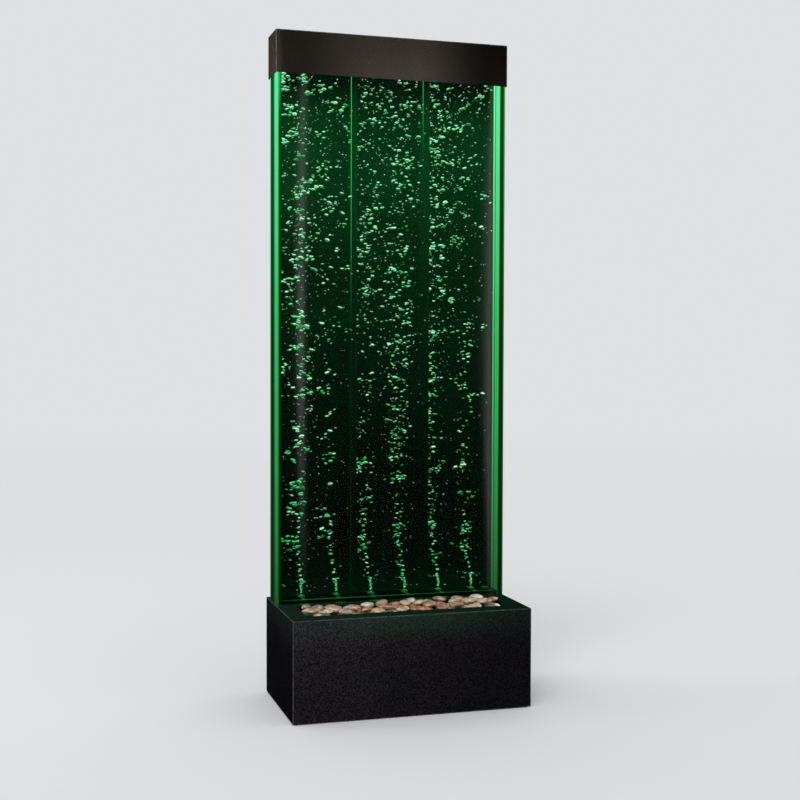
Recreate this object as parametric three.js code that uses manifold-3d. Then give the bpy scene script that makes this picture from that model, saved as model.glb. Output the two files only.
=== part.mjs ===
// Floor-standing bubble wall: a narrow acrylic water tank on a steel base with a pebble tray,
// under a lift-off steel header. Millimetres, +Z up, the front faces -Y,
// and the origin lies on the floor under the middle of the base.
import * as THREE from "three";
import { mergeVertices } from "three/addons/utils/BufferGeometryUtils.js";
import Module from "manifold-3d";

const wasm = await Module();
wasm.setup();

// Driving sizes of the whole wall
const overallHeight = 1830;
const baseWidth = 660;
const baseDepth = 360;
const deckHeight = 271;
const headerHeight = 115;
const tankSideStep = 2;
const tankDepth = 100;
const tankBackStep = 47;
const nozzleCount = 6;
const chamberCount = 3;

// Stock thicknesses and fits used all over the wall
const sheet = 2;
const paneThickness = 10;
const seatGap = 0.3;
const bondLine = 0.3;
const cutOverrun = 5;
const mergeTolerance = 0.001;

// Planes that several pieces share
const baseFront = -baseDepth / 2;
const baseBack = baseDepth / 2;
const deckUnderside = deckHeight - sheet;
const tankWidth = baseWidth - 2 * tankSideStep;
const tankBack = baseBack - tankBackStep;
const tankFront = tankBack - tankDepth;
const tankMiddle = (tankFront + tankBack) / 2;
const waterFront = tankFront + paneThickness;
const waterBack = tankBack - paneThickness;
const headerBottom = overallHeight - headerHeight;

// Finishes, with the colours of the photograph
const finish = (colour, roughness, metalness, opacity = 1) =>
  new THREE.MeshStandardMaterial({
    color: colour,
    roughness,
    metalness,
    opacity,
    transparent: opacity < 1,
  });
const blackPowderCoat = finish(0x1f1c1a, 0.55, 0.6);
const clearAcrylic = finish(0xbfe8cc, 0.08, 0, 0.3);
const mirrorAcrylic = finish(0x07110b, 0.08, 0.4);
const litAcrylic = finish(0x35d06e, 0.2, 0, 0.8);
const greenWater = finish(0x0d5a2c, 0.05, 0, 0.35);
const riverStone = finish(0xb49a80, 0.35, 0);
const blackRubber = finish(0x151515, 0.9, 0);
const foamRubber = finish(0x2b2b2b, 0.95, 0);
const clearSilicone = finish(0xd7dedb, 0.4, 0, 0.7);
const blackPlastic = finish(0x1b1b1d, 0.5, 0);
const greyPlastic = finish(0x8c9094, 0.5, 0);
const zincSteel = finish(0xa9adb0, 0.4, 0.9);
const aluminium = finish(0xc4c7ca, 0.35, 0.9);
const opalLens = finish(0xe8f6ea, 0.5, 0);
const brass = finish(0xb89a55, 0.35, 0.9);
const leadSheath = finish(0x17181a, 0.6, 0);

// A closed solid from any three.js geometry, drawn either way round
function solid(geometry) {
  const bare = geometry.index ? geometry.toNonIndexed() : geometry.clone();
  bare.deleteAttribute("normal");
  bare.deleteAttribute("uv");
  const merged = mergeVertices(bare, mergeTolerance);
  const triVerts = new Uint32Array(merged.index.array);
  const vertProperties = merged.attributes.position.array;
  const made = new wasm.Manifold(new wasm.Mesh({ numProp: 3, vertProperties, triVerts }));
  if (made.volume() > 0) return made;
  const turned = triVerts.map((_, i) => triVerts[i - (i % 3) + ((3 - (i % 3)) % 3)]);
  return new wasm.Manifold(new wasm.Mesh({ numProp: 3, vertProperties, triVerts: turned }));
}

// The triangles of a solid, back as a geometry
function geometryOf(made) {
  const mesh = made.getMesh();
  const geometry = new THREE.BufferGeometry();
  const points = new Float32Array(mesh.numVert * 3);
  for (let i = 0; i < mesh.numVert; i++) {
    points.set(mesh.vertProperties.subarray(i * mesh.numProp, i * mesh.numProp + 3), i * 3);
  }
  geometry.setAttribute("position", new THREE.BufferAttribute(points, 3));
  geometry.setIndex(new THREE.BufferAttribute(mesh.triVerts, 1));
  geometry.computeVertexNormals();
  return geometry;
}

const joined = (solids) => solids.reduce((a, b) => a.add(b));
const mirrored = (made) => made.mirror([1, 0, 0]);

// A block between two corners
function block(x0, x1, y0, y1, z0, z1) {
  const box = new THREE.BoxGeometry(x1 - x0, y1 - y0, z1 - z0);
  box.translate((x0 + x1) / 2, (y0 + y1) / 2, (z0 + z1) / 2);
  return solid(box);
}

// A rectangle round a centre with arcs at its corners
function roundedRectangle(width, height, radius, centreX = 0, centreY = 0) {
  const [w, h] = [width / 2, height / 2];
  const shape = new THREE.Shape();
  shape.absarc(centreX + w - radius, centreY - h + radius, radius, -Math.PI / 2, 0);
  shape.absarc(centreX + w - radius, centreY + h - radius, radius, 0, Math.PI / 2);
  shape.absarc(centreX - w + radius, centreY + h - radius, radius, Math.PI / 2, Math.PI);
  shape.absarc(centreX - w + radius, centreY - h + radius, radius, Math.PI, 1.5 * Math.PI);
  return shape;
}

const polygon = (points) => new THREE.Shape(points.map(([a, b]) => new THREE.Vector2(a, b)));

// A plan shape raised from z0 to z1
function raised(shape, z0, z1, curveSegments = 3) {
  const made = new THREE.ExtrudeGeometry(shape, { depth: z1 - z0, bevelEnabled: false, curveSegments });
  return solid(made.translate(0, 0, z0));
}

// A shape drawn in X and Z, run back from y0 to y1
function runBack(shape, y0, y1, curveSegments = 3) {
  const made = new THREE.ExtrudeGeometry(shape, { depth: y1 - y0, bevelEnabled: false, curveSegments });
  return solid(made.rotateX(Math.PI / 2).translate(0, y1, 0));
}

// A shape drawn in Y and Z, run across from x0 to x1
function runAcross(shape, x0, x1, curveSegments = 3) {
  const made = new THREE.ExtrudeGeometry(shape, { depth: x1 - x0, bevelEnabled: false, curveSegments });
  const turn = new THREE.Matrix4().makeBasis(
    new THREE.Vector3(0, 1, 0),
    new THREE.Vector3(0, 0, 1),
    new THREE.Vector3(1, 0, 0),
  );
  return solid(made.applyMatrix4(turn).translate(x0, 0, 0));
}

// A turned piece: a profile of radius and height, revolved about Z
function turned(profile, segments = 16) {
  const points = profile.map(([radius, height]) => new THREE.Vector2(radius, height));
  return solid(new THREE.LatheGeometry(points, segments).rotateX(Math.PI / 2));
}

// A plain round bar along Z
const bar = (radius, z0, z1, segments = 16) =>
  turned([[0, z0], [radius, z0], [radius, z1], [0, z1]], segments);

// Turns a solid made along Z to lie along Y or along X
const alongY = (made) => made.rotate([-90, 0, 0]);
const alongX = (made) => made.rotate([0, 90, 0]);

// A box with rounded upright edges and a softened top edge, standing on z0
function softBox(width, depth, z0, z1, cornerRadius, edgeRadius, centreX = 0, centreY = 0) {
  const shape = roundedRectangle(width, depth, cornerRadius, centreX, centreY);
  const made = new THREE.ExtrudeGeometry(shape, {
    depth: z1 - z0 - edgeRadius,
    bevelEnabled: true,
    bevelThickness: edgeRadius,
    bevelSize: edgeRadius,
    bevelOffset: -edgeRadius,
    bevelSegments: 2,
    curveSegments: 3,
  });
  const whole = solid(made.translate(0, 0, z0));
  const [x, y] = [width / 2 + cutOverrun, depth / 2 + cutOverrun];
  const underFrom = z0 - edgeRadius - cutOverrun;
  const under = block(centreX - x, centreX + x, centreY - y, centreY + y, underFrom, z0);
  return whole.subtract(under);
}

// A flexible tube or lead of one diameter through chosen points
function flexible(diameter, points, steps, halfSides = 4) {
  const section = new THREE.Shape();
  section.absarc(0, 0, diameter / 2, 0, 2 * Math.PI);
  const stations = points.map((p) => new THREE.Vector3(...p));
  const extrudePath = new THREE.CatmullRomCurve3(stations, false, "centripetal");
  const made = new THREE.ExtrudeGeometry(section, { steps, extrudePath, curveSegments: halfSides });
  return solid(made);
}

const wall = new THREE.Group();
function piece(name, made, material) {
  const mesh = new THREE.Mesh(geometryOf(made), material);
  mesh.name = name;
  wall.add(mesh);
}

// Feet: four rubber pads glued under the base plate
const footHeight = 4;
const footRadius = 20;
const footInset = 45;
const footChamfer = 1;
const footTop = footHeight - seatGap;
[-1, 1].forEach((side, column) => {
  [-1, 1].forEach((end, row) => {
    const pad = turned(
      [
        [0, 0],
        [footRadius - footChamfer, 0],
        [footRadius, footChamfer],
        [footRadius, footTop],
        [0, footTop],
      ],
      20,
    );
    const place = [side * (baseWidth / 2 - footInset), end * (baseDepth / 2 - footInset), 0];
    piece(`foot_${2 * column + row + 1}`, pad.translate(place), blackRubber);
  });
});

// Base housing: one folded steel box, open below and behind, with two openings in its deck
const baseCornerRadius = 3;
const baseEdgeRadius = 2;
const trayRim = 50;
const trayFrontRim = 56;
const trayBackStrip = 18;
const slotInset = 19;
const slotEndInset = 28;
const rearWallInset = 10;
const rearFrameSide = 30;
const rearFrameBottom = 36;
const rearFrameTop = 36;
const trayHalf = baseWidth / 2 - trayRim;
const trayFront = baseFront + trayFrontRim;
const trayBack = tankFront - trayBackStrip;
const trayMiddle = (trayFront + trayBack) / 2;
const slotHalf = tankWidth / 2 - slotEndInset;
const slotFront = tankFront + slotInset;
const slotBack = tankBack - slotInset;
const rearWallFace = baseBack - rearWallInset;
const rearHalf = baseWidth / 2 - rearFrameSide;
const rearLow = footHeight + rearFrameBottom;
const rearHigh = deckHeight - rearFrameTop;
const baseInnerHalf = baseWidth / 2 - sheet;
const baseInnerFront = baseFront + sheet;
const baseInnerBack = rearWallFace - sheet;
const thumbScrewRadius = 2.5;
const thumbScrewClearance = 0.3;
const panelFlange = 15;
const thumbScrewX = rearHalf + panelFlange / 2;
const thumbScrewZ = (rearLow + rearHigh) / 2;
const thumbScrewHole = (side, y0, y1) =>
  alongY(bar(thumbScrewRadius + thumbScrewClearance, y0, y1, 12)).translate([
    side * thumbScrewX,
    0,
    thumbScrewZ,
  ]);
const outerBox = softBox(baseWidth, baseDepth, footHeight, deckHeight, baseCornerRadius, baseEdgeRadius);
const belowBase = footHeight - cutOverrun;
const aboveDeck = deckHeight + cutOverrun;
const baseHousing = outerBox
  .subtract(block(-baseInnerHalf, baseInnerHalf, baseInnerFront, baseInnerBack, belowBase, deckUnderside))
  .subtract(
    block(-baseInnerHalf, baseInnerHalf, rearWallFace, baseBack + cutOverrun, belowBase, deckUnderside),
  )
  .subtract(block(-rearHalf, rearHalf, baseInnerBack - cutOverrun, baseBack, rearLow, rearHigh))
  .subtract(block(-trayHalf, trayHalf, trayFront, trayBack, deckUnderside - cutOverrun, aboveDeck))
  .subtract(block(-slotHalf, slotHalf, slotFront, slotBack, deckUnderside - cutOverrun, aboveDeck))
  .subtract(thumbScrewHole(-1, baseInnerBack - cutOverrun, rearWallFace + cutOverrun))
  .subtract(thumbScrewHole(1, baseInnerBack - cutOverrun, rearWallFace + cutOverrun));
piece("base_housing", baseHousing, blackPowderCoat);

// Base plate: a shallow pan that closes the housing from below, with rows of air slots
const plateUpstand = 14;
const airSlotLength = 46;
const airSlotWidth = 5;
const airSlotPitch = 20;
const airSlotCount = 5;
const airSlotPlaceShare = 0.625;
const plateHalf = baseInnerHalf - seatGap;
const plateFront = baseInnerFront + seatGap;
const plateBack = baseInnerBack - seatGap;
const plateTop = footHeight + sheet;
const airSlotX = plateHalf * airSlotPlaceShare;
const airSlots = [-1, 1].flatMap((side) =>
  Array.from({ length: airSlotCount }, (_, i) => {
    const y = (i - (airSlotCount - 1) / 2) * airSlotPitch + trayMiddle;
    const slot = roundedRectangle(airSlotLength, airSlotWidth, airSlotWidth / 2.01, side * airSlotX, y);
    return raised(slot, footHeight - cutOverrun, plateTop + cutOverrun, 2);
  }),
);
const basePlate = block(-plateHalf, plateHalf, plateFront, plateBack, footHeight, plateTop + plateUpstand)
  .subtract(
    block(
      -plateHalf + sheet,
      plateHalf - sheet,
      plateFront + sheet,
      plateBack - sheet,
      plateTop,
      plateTop + plateUpstand + cutOverrun,
    ),
  )
  .subtract(joined(airSlots));
piece("base_plate", basePlate, blackPowderCoat);
const plateSeat = plateTop + seatGap;

// Pebble tray: a folded pan bolted up under the deck, its mouth flush with the deck's opening
const trayDepth = 24;
const trayFlange = 12;
const traySheet = 1.5;
const trayFloor = deckHeight - trayDepth;
const trayFlangeTop = deckUnderside - seatGap;
const trayPan = (grow, z0, z1) =>
  block(-trayHalf - grow, trayHalf + grow, trayFront - grow, trayBack + grow, z0, z1);
const pebbleTray = trayPan(traySheet, trayFloor - traySheet, trayFlangeTop)
  .add(trayPan(trayFlange, trayFlangeTop - traySheet, trayFlangeTop))
  .subtract(trayPan(0, trayFloor, trayFlangeTop + cutOverrun));
piece("pebble_tray", pebbleTray, blackPowderCoat);

// Pebbles: polished river stones, flattened and heaped two deep, each leaning on its neighbours.
// Their lengths, turns and offsets repeat a golden-ratio sequence.
const stoneLength = 70;
const stoneBreadth = 50;
const stoneThickness = 22;
const stonePitch = 56;
const stoneRowPitch = 47;
const topStonePitch = 70;
const stoneMargin = 3;
const topStoneLift = 13;
const stoneEndReachShare = 0.56;
const goldenShare = 0.618034;
const scatter = (index, salt) => (index * goldenShare + salt * 0.37) % 1;
const stoneShape = (length, breadth, thickness) => {
  const sphere = new THREE.SphereGeometry(1, 7, 5);
  sphere.rotateX(Math.PI / 2).scale(length / 2, breadth / 2, thickness / 2);
  return solid(sphere);
};
function stone(index, x, y, z, sizeShare) {
  const length = stoneLength * sizeShare * (0.88 + 0.24 * scatter(index, 1));
  const breadth = stoneBreadth * sizeShare * (0.9 + 0.2 * scatter(index, 2));
  const thickness = stoneThickness * (0.86 + 0.24 * scatter(index, 3));
  const turn = 40 * (scatter(index, 4) - 0.5);
  const lean = 14 * (scatter(index, 5) - 0.5);
  return stoneShape(length, breadth, thickness).rotate([0, lean, turn]).translate([x, y, z]);
}
const stoneColumns = Math.ceil((2 * trayHalf) / stonePitch);
const stoneRows = Math.ceil((trayBack - trayFront) / stoneRowPitch);
const topStoneColumns = Math.ceil((2 * trayHalf) / topStonePitch);
const stoneSpanX = 2 * trayHalf - stoneLength * 2 * stoneEndReachShare;
const stoneSpanY = trayBack - trayFront - stoneBreadth * 2 * stoneEndReachShare;
const stones = [];
for (let row = 0; row < stoneRows; row++) {
  for (let column = 0; column < stoneColumns; column++) {
    const index = row * stoneColumns + column;
    const x = stoneSpanX * ((column + 0.1 * scatter(index, 6)) / (stoneColumns - 0.9) - 0.5);
    const y = trayMiddle + stoneSpanY * ((row + 0.12 * scatter(index, 7)) / (stoneRows - 0.88) - 0.5);
    stones.push(stone(index, x, y, trayFloor + stoneThickness / 2, 1));
  }
}
for (let column = 0; column < topStoneColumns; column++) {
  const index = stoneRows * stoneColumns + column;
  const x = stoneSpanX * ((column + 0.4 * scatter(index, 6)) / (topStoneColumns - 0.6) - 0.5);
  const y = trayMiddle + stoneSpanY * (0.5 * scatter(index, 7) - 0.35);
  stones.push(stone(index, x, y, trayFloor + stoneThickness / 2 + topStoneLift, 0.92));
}
const stoneRoom = block(
  -trayHalf + stoneMargin,
  trayHalf - stoneMargin,
  trayFront + stoneMargin,
  trayBack - stoneMargin,
  trayFloor + seatGap,
  overallHeight,
);
piece("pebbles", joined(stones).intersect(stoneRoom), riverStone);

// Tank panes: clear in front and black mirror acrylic behind, their outer upright edges polished
// to a chamfer
const padThickness = 6;
const paneChamfer = 2;
const paneBottom = deckHeight + seatGap;
const paneTop = overallHeight - sheet - padThickness - 2 * seatGap;
const tankHalf = tankWidth / 2;
function pane(outerY, innerY) {
  const inward = Math.sign(innerY - outerY) * paneChamfer;
  const plan = polygon([
    [-tankHalf + paneChamfer, outerY],
    [tankHalf - paneChamfer, outerY],
    [tankHalf, outerY + inward],
    [tankHalf, innerY],
    [-tankHalf, innerY],
    [-tankHalf, outerY + inward],
  ]);
  return raised(plan, paneBottom, paneTop);
}
piece("front_pane", pane(tankFront, waterFront), clearAcrylic);
piece("back_pane", pane(tankBack, waterBack), mirrorAcrylic);

// Side bars: solid acrylic strips between the panes, which carry the light up the tank's edges
const sideBarWidth = 13;
const sideBarRecess = 1;
const barFront = waterFront + bondLine;
const barBack = waterBack - bondLine;
const waterHalf = tankHalf - sideBarRecess - sideBarWidth;
const rightBar = block(waterHalf, waterHalf + sideBarWidth, barFront, barBack, paneBottom, paneTop);
piece("side_bar_right", rightBar, litAcrylic);
piece("side_bar_left", mirrored(rightBar), litAcrylic);

// Nozzles: barbed fittings through the tank floor, with a fine orifice in a domed head
const nozzleStemRadius = 4;
const nozzleHoleClearance = 0.4;
const nozzleHeadRadius = 9;
const nozzleHeadHeight = 4;
const nozzleDomeRadius = 5;
const nozzleDomeHeight = 4;
const nozzleBoreRadius = 1;
const nozzleBoreDepth = 3;
const barbRadius = 3;
const barbRidge = 0.8;
const barbLength = 9;
const nozzleStemBelow = 22;
const tankFloorThickness = 12;
const tankFloorTop = paneBottom + tankFloorThickness;
const nozzleSeat = tankFloorTop + seatGap;
const nozzleTip = paneBottom - nozzleStemBelow;
const nozzlePitchShare = 0.955;
const nozzlePitch = (nozzlePitchShare * 2 * waterHalf) / nozzleCount;
const nozzleX = (index) => (index - (nozzleCount - 1) / 2) * nozzlePitch;
const domeSteps = 3;
const domeArc = Array.from({ length: domeSteps }, (_, i) => {
  const angle = (i / domeSteps) * (Math.PI / 2);
  const rise = nozzleHeadHeight + nozzleDomeHeight * Math.sin(angle);
  return [nozzleDomeRadius * Math.cos(angle), nozzleSeat + rise];
});
const domeTop = nozzleSeat + nozzleHeadHeight + nozzleDomeHeight;
const nozzle = turned(
  [
    [0, nozzleTip],
    [barbRadius, nozzleTip],
    [barbRadius + barbRidge, nozzleTip + barbLength / 3],
    [barbRadius, nozzleTip + barbLength / 2],
    [barbRadius + barbRidge, nozzleTip + barbLength],
    [nozzleStemRadius, nozzleTip + barbLength],
    [nozzleStemRadius, nozzleSeat],
    [nozzleHeadRadius, nozzleSeat],
    [nozzleHeadRadius, nozzleSeat + nozzleHeadHeight],
    ...domeArc,
    [nozzleBoreRadius, domeTop],
    [nozzleBoreRadius, domeTop - nozzleBoreDepth],
    [0, domeTop - nozzleBoreDepth],
  ],
  10,
);
for (let i = 0; i < nozzleCount; i++) {
  piece(`air_nozzle_${i + 1}`, nozzle.translate([nozzleX(i), tankMiddle, 0]), blackPlastic);
}

// Drain fitting: a flanged spigot at the right-hand end of the tank floor
const drainInset = 22;
const drainStemRadius = 6;
const drainFlangeRadius = 11;
const drainFlangeHeight = 3;
const drainBoreRadius = 3.5;
const drainStemBelow = 24;
const drainX = waterHalf - drainInset;
const drainTip = paneBottom - drainStemBelow;
const drainHeadTop = nozzleSeat + drainFlangeHeight;
const drainFitting = turned(
  [
    [0, drainTip],
    [drainStemRadius, drainTip],
    [drainStemRadius, nozzleSeat],
    [drainFlangeRadius, nozzleSeat],
    [drainFlangeRadius, drainHeadTop],
    [drainBoreRadius, drainHeadTop],
    [drainBoreRadius, paneBottom],
    [0, paneBottom],
  ],
  16,
).translate([drainX, tankMiddle, 0]);
piece("drain_fitting", drainFitting, greyPlastic);

// Tank floor: the thick acrylic strip that the nozzles and the drain pass through
const floorHalf = waterHalf - bondLine;
const floorHole = (radius, x) =>
  bar(radius, paneBottom - cutOverrun, tankFloorTop + cutOverrun, 16).translate([x, tankMiddle, 0]);
const floorHoles = Array.from({ length: nozzleCount }, (_, i) =>
  floorHole(nozzleStemRadius + nozzleHoleClearance, nozzleX(i)),
);
floorHoles.push(floorHole(drainStemRadius + nozzleHoleClearance, drainX));
const tankFloor = block(-floorHalf, floorHalf, barFront, barBack, paneBottom, tankFloorTop);
piece("tank_floor", tankFloor.subtract(joined(floorHoles)), litAcrylic);

// Dividers: acrylic strips that split the tank into chambers and tie the panes,
// open at the foot so that the water stands level
const dividerThickness = 4;
const dividerFootGap = 22;
const dividerBottom = tankFloorTop + dividerFootGap;
const chamberPitch = (2 * waterHalf) / chamberCount;
const dividerNames = ["divider_left", "divider_right"];
const dividerX = (index) => -waterHalf + (index + 1) * chamberPitch;
const dividerBlock = (index, grow, bottom, top) =>
  block(
    dividerX(index) - dividerThickness / 2 - grow,
    dividerX(index) + dividerThickness / 2 + grow,
    barFront - grow,
    barBack + grow,
    bottom,
    top,
  );
dividerNames.forEach((name, index) => {
  piece(name, dividerBlock(index, 0, dividerBottom, paneTop), clearAcrylic);
});

// Water: fills the three chambers to just above the header's lower edge
const waterLine = 20;
const waterLevel = headerBottom + waterLine;
const keepClear = Array.from({ length: nozzleCount }, (_, i) =>
  bar(nozzleHeadRadius + seatGap, tankFloorTop, domeTop + seatGap, 12)
    .translate([nozzleX(i), tankMiddle, 0]),
);
keepClear.push(
  bar(drainFlangeRadius + seatGap, tankFloorTop, drainHeadTop + seatGap)
    .translate([drainX, tankMiddle, 0]),
);
dividerNames.forEach((name, index) => {
  keepClear.push(dividerBlock(index, seatGap + bondLine, dividerBottom - seatGap, paneTop));
});
const water = block(
  -waterHalf + seatGap,
  waterHalf - seatGap,
  waterFront + seatGap + bondLine,
  waterBack - seatGap - bondLine,
  nozzleSeat,
  waterLevel,
);
piece("water", water.subtract(joined(keepClear)), greenWater);

// Header: a folded steel lid that drops over the tank's top and rests on a foam pad
const headerClearance = 2;
const headerCornerRadius = 3;
const headerEdgeRadius = 1.5;
const headerWidth = tankWidth + 2 * (headerClearance + sheet);
const headerDepth = tankDepth + 2 * (headerClearance + sheet);
const headerShell = softBox(
  headerWidth,
  headerDepth,
  headerBottom,
  overallHeight,
  headerCornerRadius,
  headerEdgeRadius,
  0,
  tankMiddle,
).subtract(
  block(
    -headerWidth / 2 + sheet,
    headerWidth / 2 - sheet,
    tankFront - headerClearance,
    tankBack + headerClearance,
    headerBottom - cutOverrun,
    overallHeight - sheet,
  ),
);
piece("header", headerShell, blackPowderCoat);

// Foam pad: a ring inside the header that lies on the tank's upper edge
const padWidth = 14;
const padBottom = paneTop + seatGap;
const padTop = overallHeight - sheet - seatGap;
const padRing = block(-tankHalf, tankHalf, tankFront, tankBack, padBottom, padTop).subtract(
  block(
    -tankHalf + padWidth,
    tankHalf - padWidth,
    tankFront + padWidth,
    tankBack - padWidth,
    padBottom - cutOverrun,
    padTop + cutOverrun,
  ),
);
piece("header_pad", padRing, foamRubber);

// Rear brackets: steel angles that hold the tank's back pane down to the deck
const bracketThickness = 3;
const bracketWidth = 50;
const bracketHeight = 60;
const bracketReach = 34;
const bracketPlaceShare = 0.625;
const bracketBend = 4;
const screwHeadRadius = 5;
const screwHeadHeight = 2.5;
const bracketX = tankHalf * bracketPlaceShare;
const bracketBack = tankBack + seatGap;
const bracketFoot = deckHeight + seatGap;
const bracketProfile = new THREE.Shape();
bracketProfile.moveTo(bracketBack, bracketFoot + bracketHeight);
bracketProfile.lineTo(bracketBack, bracketFoot + bracketBend);
const bracketBendY = bracketBack + bracketBend;
bracketProfile.absarc(bracketBendY, bracketFoot + bracketBend, bracketBend, Math.PI, 1.5 * Math.PI);
bracketProfile.lineTo(bracketBack + bracketReach, bracketFoot);
bracketProfile.lineTo(bracketBack + bracketReach, bracketFoot + bracketThickness);
bracketProfile.lineTo(bracketBack + bracketThickness, bracketFoot + bracketThickness);
bracketProfile.lineTo(bracketBack + bracketThickness, bracketFoot + bracketHeight);
const screwHead = turned(
  [
    [0, -bracketThickness / 2],
    [screwHeadRadius, -bracketThickness / 2],
    [screwHeadRadius * 0.8, screwHeadHeight],
    [0, screwHeadHeight],
  ],
  12,
);
function rearBracket(centre) {
  const angle = runAcross(bracketProfile, centre - bracketWidth / 2, centre + bracketWidth / 2);
  const heads = [-1, 1].flatMap((side) => {
    const x = centre + (side * bracketWidth) / 4;
    const [upY, upZ] = [bracketBack + bracketThickness, bracketFoot + (bracketHeight * 2) / 3];
    const [footY, footZ] = [bracketBack + (bracketReach * 2) / 3, bracketFoot + bracketThickness];
    return [
      alongY(screwHead).translate([x, upY, upZ]),
      screwHead.translate([x, footY, footZ]),
    ];
  });
  return joined([angle, ...heads]);
}
piece("rear_bracket_left", rearBracket(-bracketX), zincSteel);
piece("rear_bracket_right", rearBracket(bracketX), zincSteel);

// Rails: steel angles along both sides of the deck's slot, each on two legs, which carry the filled tank
const railOffset = 3;
const railHeight = 30;
const railFlange = 14;
const railEndInset = 12;
const legPlaceShare = 0.34;
const legWidth = 14;
const legPadReach = 10;
const legPadThickness = 3;
const railTop = deckUnderside - seatGap;
const railHalf = slotHalf + railEndInset;
const legX = railHalf * legPlaceShare;
const railWebFront = slotFront - railOffset - sheet;
function railSection() {
  const flangeFront = railWebFront + sheet - railFlange;
  const section = polygon([
    [flangeFront, railTop],
    [flangeFront, railTop - sheet],
    [railWebFront, railTop - sheet],
    [railWebFront, railTop - railHeight],
    [railWebFront + sheet, railTop - railHeight],
    [railWebFront + sheet, railTop],
  ]);
  const legs = [-legX, legX].flatMap((x) => [
    block(
      x - legWidth / 2,
      x + legWidth / 2,
      flangeFront,
      railWebFront + sheet / 2,
      plateSeat,
      railTop - sheet / 2,
    ),
    block(
      x - legWidth / 2 - legPadReach,
      x + legWidth / 2 + legPadReach,
      flangeFront,
      railWebFront + sheet,
      plateSeat,
      plateSeat + legPadThickness,
    ),
  ]);
  return joined([runAcross(section, -railHalf, railHalf), ...legs]);
}
const frontRail = railSection();
piece("rail_front", frontRail, zincSteel);
piece("rail_back", frontRail.mirror([0, 1, 0]).translate([0, 2 * tankMiddle, 0]), zincSteel);

// Light bars: aluminium channels under the slot, each with an opal lens that shines up into the acrylic
const lightBarWidth = 16;
const lightBarHeight = 12;
const lightBarWall = 1.5;
const lightBarEndInset = 10;
const lensHeight = 3;
const lensCrown = 1.2;
const lensDrop = 5;
const lightBarHalf = slotHalf - lightBarEndInset;
const lightBarFront = railWebFront + sheet + seatGap;
const lightBarBack = lightBarFront + lightBarWidth;
const lightBarTop = deckHeight - lensDrop - lensHeight;
const lightBarBottom = lightBarTop - lightBarHeight;
const channelSection = polygon([
  [lightBarFront, lightBarBottom],
  [lightBarBack, lightBarBottom],
  [lightBarBack, lightBarTop],
  [lightBarBack - lightBarWall, lightBarTop],
  [lightBarBack - lightBarWall, lightBarBottom + lightBarWall],
  [lightBarFront + lightBarWall, lightBarBottom + lightBarWall],
  [lightBarFront + lightBarWall, lightBarTop],
  [lightBarFront, lightBarTop],
]);
const lensBottom = lightBarTop + seatGap;
const lensSection = new THREE.Shape();
lensSection.moveTo(lightBarFront, lensBottom);
lensSection.lineTo(lightBarBack, lensBottom);
lensSection.lineTo(lightBarBack, lensBottom + lensHeight - lensCrown);
lensSection.absellipse(
  (lightBarFront + lightBarBack) / 2,
  lensBottom + lensHeight - lensCrown,
  lightBarWidth / 2,
  lensCrown,
  0,
  Math.PI,
);
const acrossTank = (made) => made.mirror([0, 1, 0]).translate([0, 2 * tankMiddle, 0]);
const lightBar = runAcross(channelSection, -lightBarHalf, lightBarHalf);
const lens = runAcross(lensSection, -lightBarHalf, lightBarHalf, 6);
piece("light_bar_front", lightBar, aluminium);
piece("light_bar_back", acrossTank(lightBar), aluminium);
piece("light_lens_front", lens, opalLens);
piece("light_lens_back", acrossTank(lens), opalLens);

// Air manifold: a moulded bar on two legs, with one inlet spigot and an outlet for each nozzle
const manifoldPitch = 36;
const manifoldDepth = 20;
const manifoldHeight = 20;
const manifoldEnd = 16;
const manifoldLift = 64;
const manifoldLeg = 12;
const spigotRadius = 2.6;
const spigotHeight = 11;
const manifoldRadius = 4;
const manifoldHalf = ((nozzleCount - 1) * manifoldPitch) / 2 + manifoldEnd;
const manifoldBottom = plateSeat + manifoldLift;
const manifoldTop = manifoldBottom + manifoldHeight;
const manifoldMiddle = (manifoldBottom + manifoldTop) / 2;
const manifoldFront = tankMiddle - manifoldDepth / 2;
const spigotTop = manifoldTop + spigotHeight;
const spigotProfile = [
  [0, -cutOverrun],
  [spigotRadius, -cutOverrun],
  [spigotRadius, spigotHeight / 2],
  [spigotRadius + barbRidge, spigotHeight / 2],
  [spigotRadius, spigotHeight],
  [0, spigotHeight],
];
const spigot = turned(spigotProfile, 10);
const outletX = (index) => (index - (nozzleCount - 1) / 2) * manifoldPitch;
const manifoldSection = roundedRectangle(
  manifoldDepth,
  manifoldHeight,
  manifoldRadius,
  tankMiddle,
  manifoldMiddle,
);
const manifoldParts = [
  runAcross(manifoldSection, -manifoldHalf, manifoldHalf),
  spigot.rotate([90, 0, 0]).translate([0, manifoldFront, manifoldMiddle]),
];
for (let i = 0; i < nozzleCount; i++) {
  manifoldParts.push(spigot.translate([outletX(i), tankMiddle, manifoldTop]));
}
for (const side of [-1, 1]) {
  const x = side * (manifoldHalf - manifoldLeg);
  const [x0, x1] = [x - manifoldLeg / 2, x + manifoldLeg / 2];
  const [y0, y1] = [tankMiddle - manifoldLeg / 2, tankMiddle + manifoldLeg / 2];
  manifoldParts.push(block(x0, x1, y0, y1, plateSeat, manifoldMiddle));
  const padReach = manifoldLeg / 2;
  const padTopZ = plateSeat + legPadThickness;
  manifoldParts.push(
    block(x0 - padReach, x1 + padReach, y0 - padReach, y1 + padReach, plateSeat, padTopZ),
  );
}
piece("air_manifold", joined(manifoldParts), greyPlastic);

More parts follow.
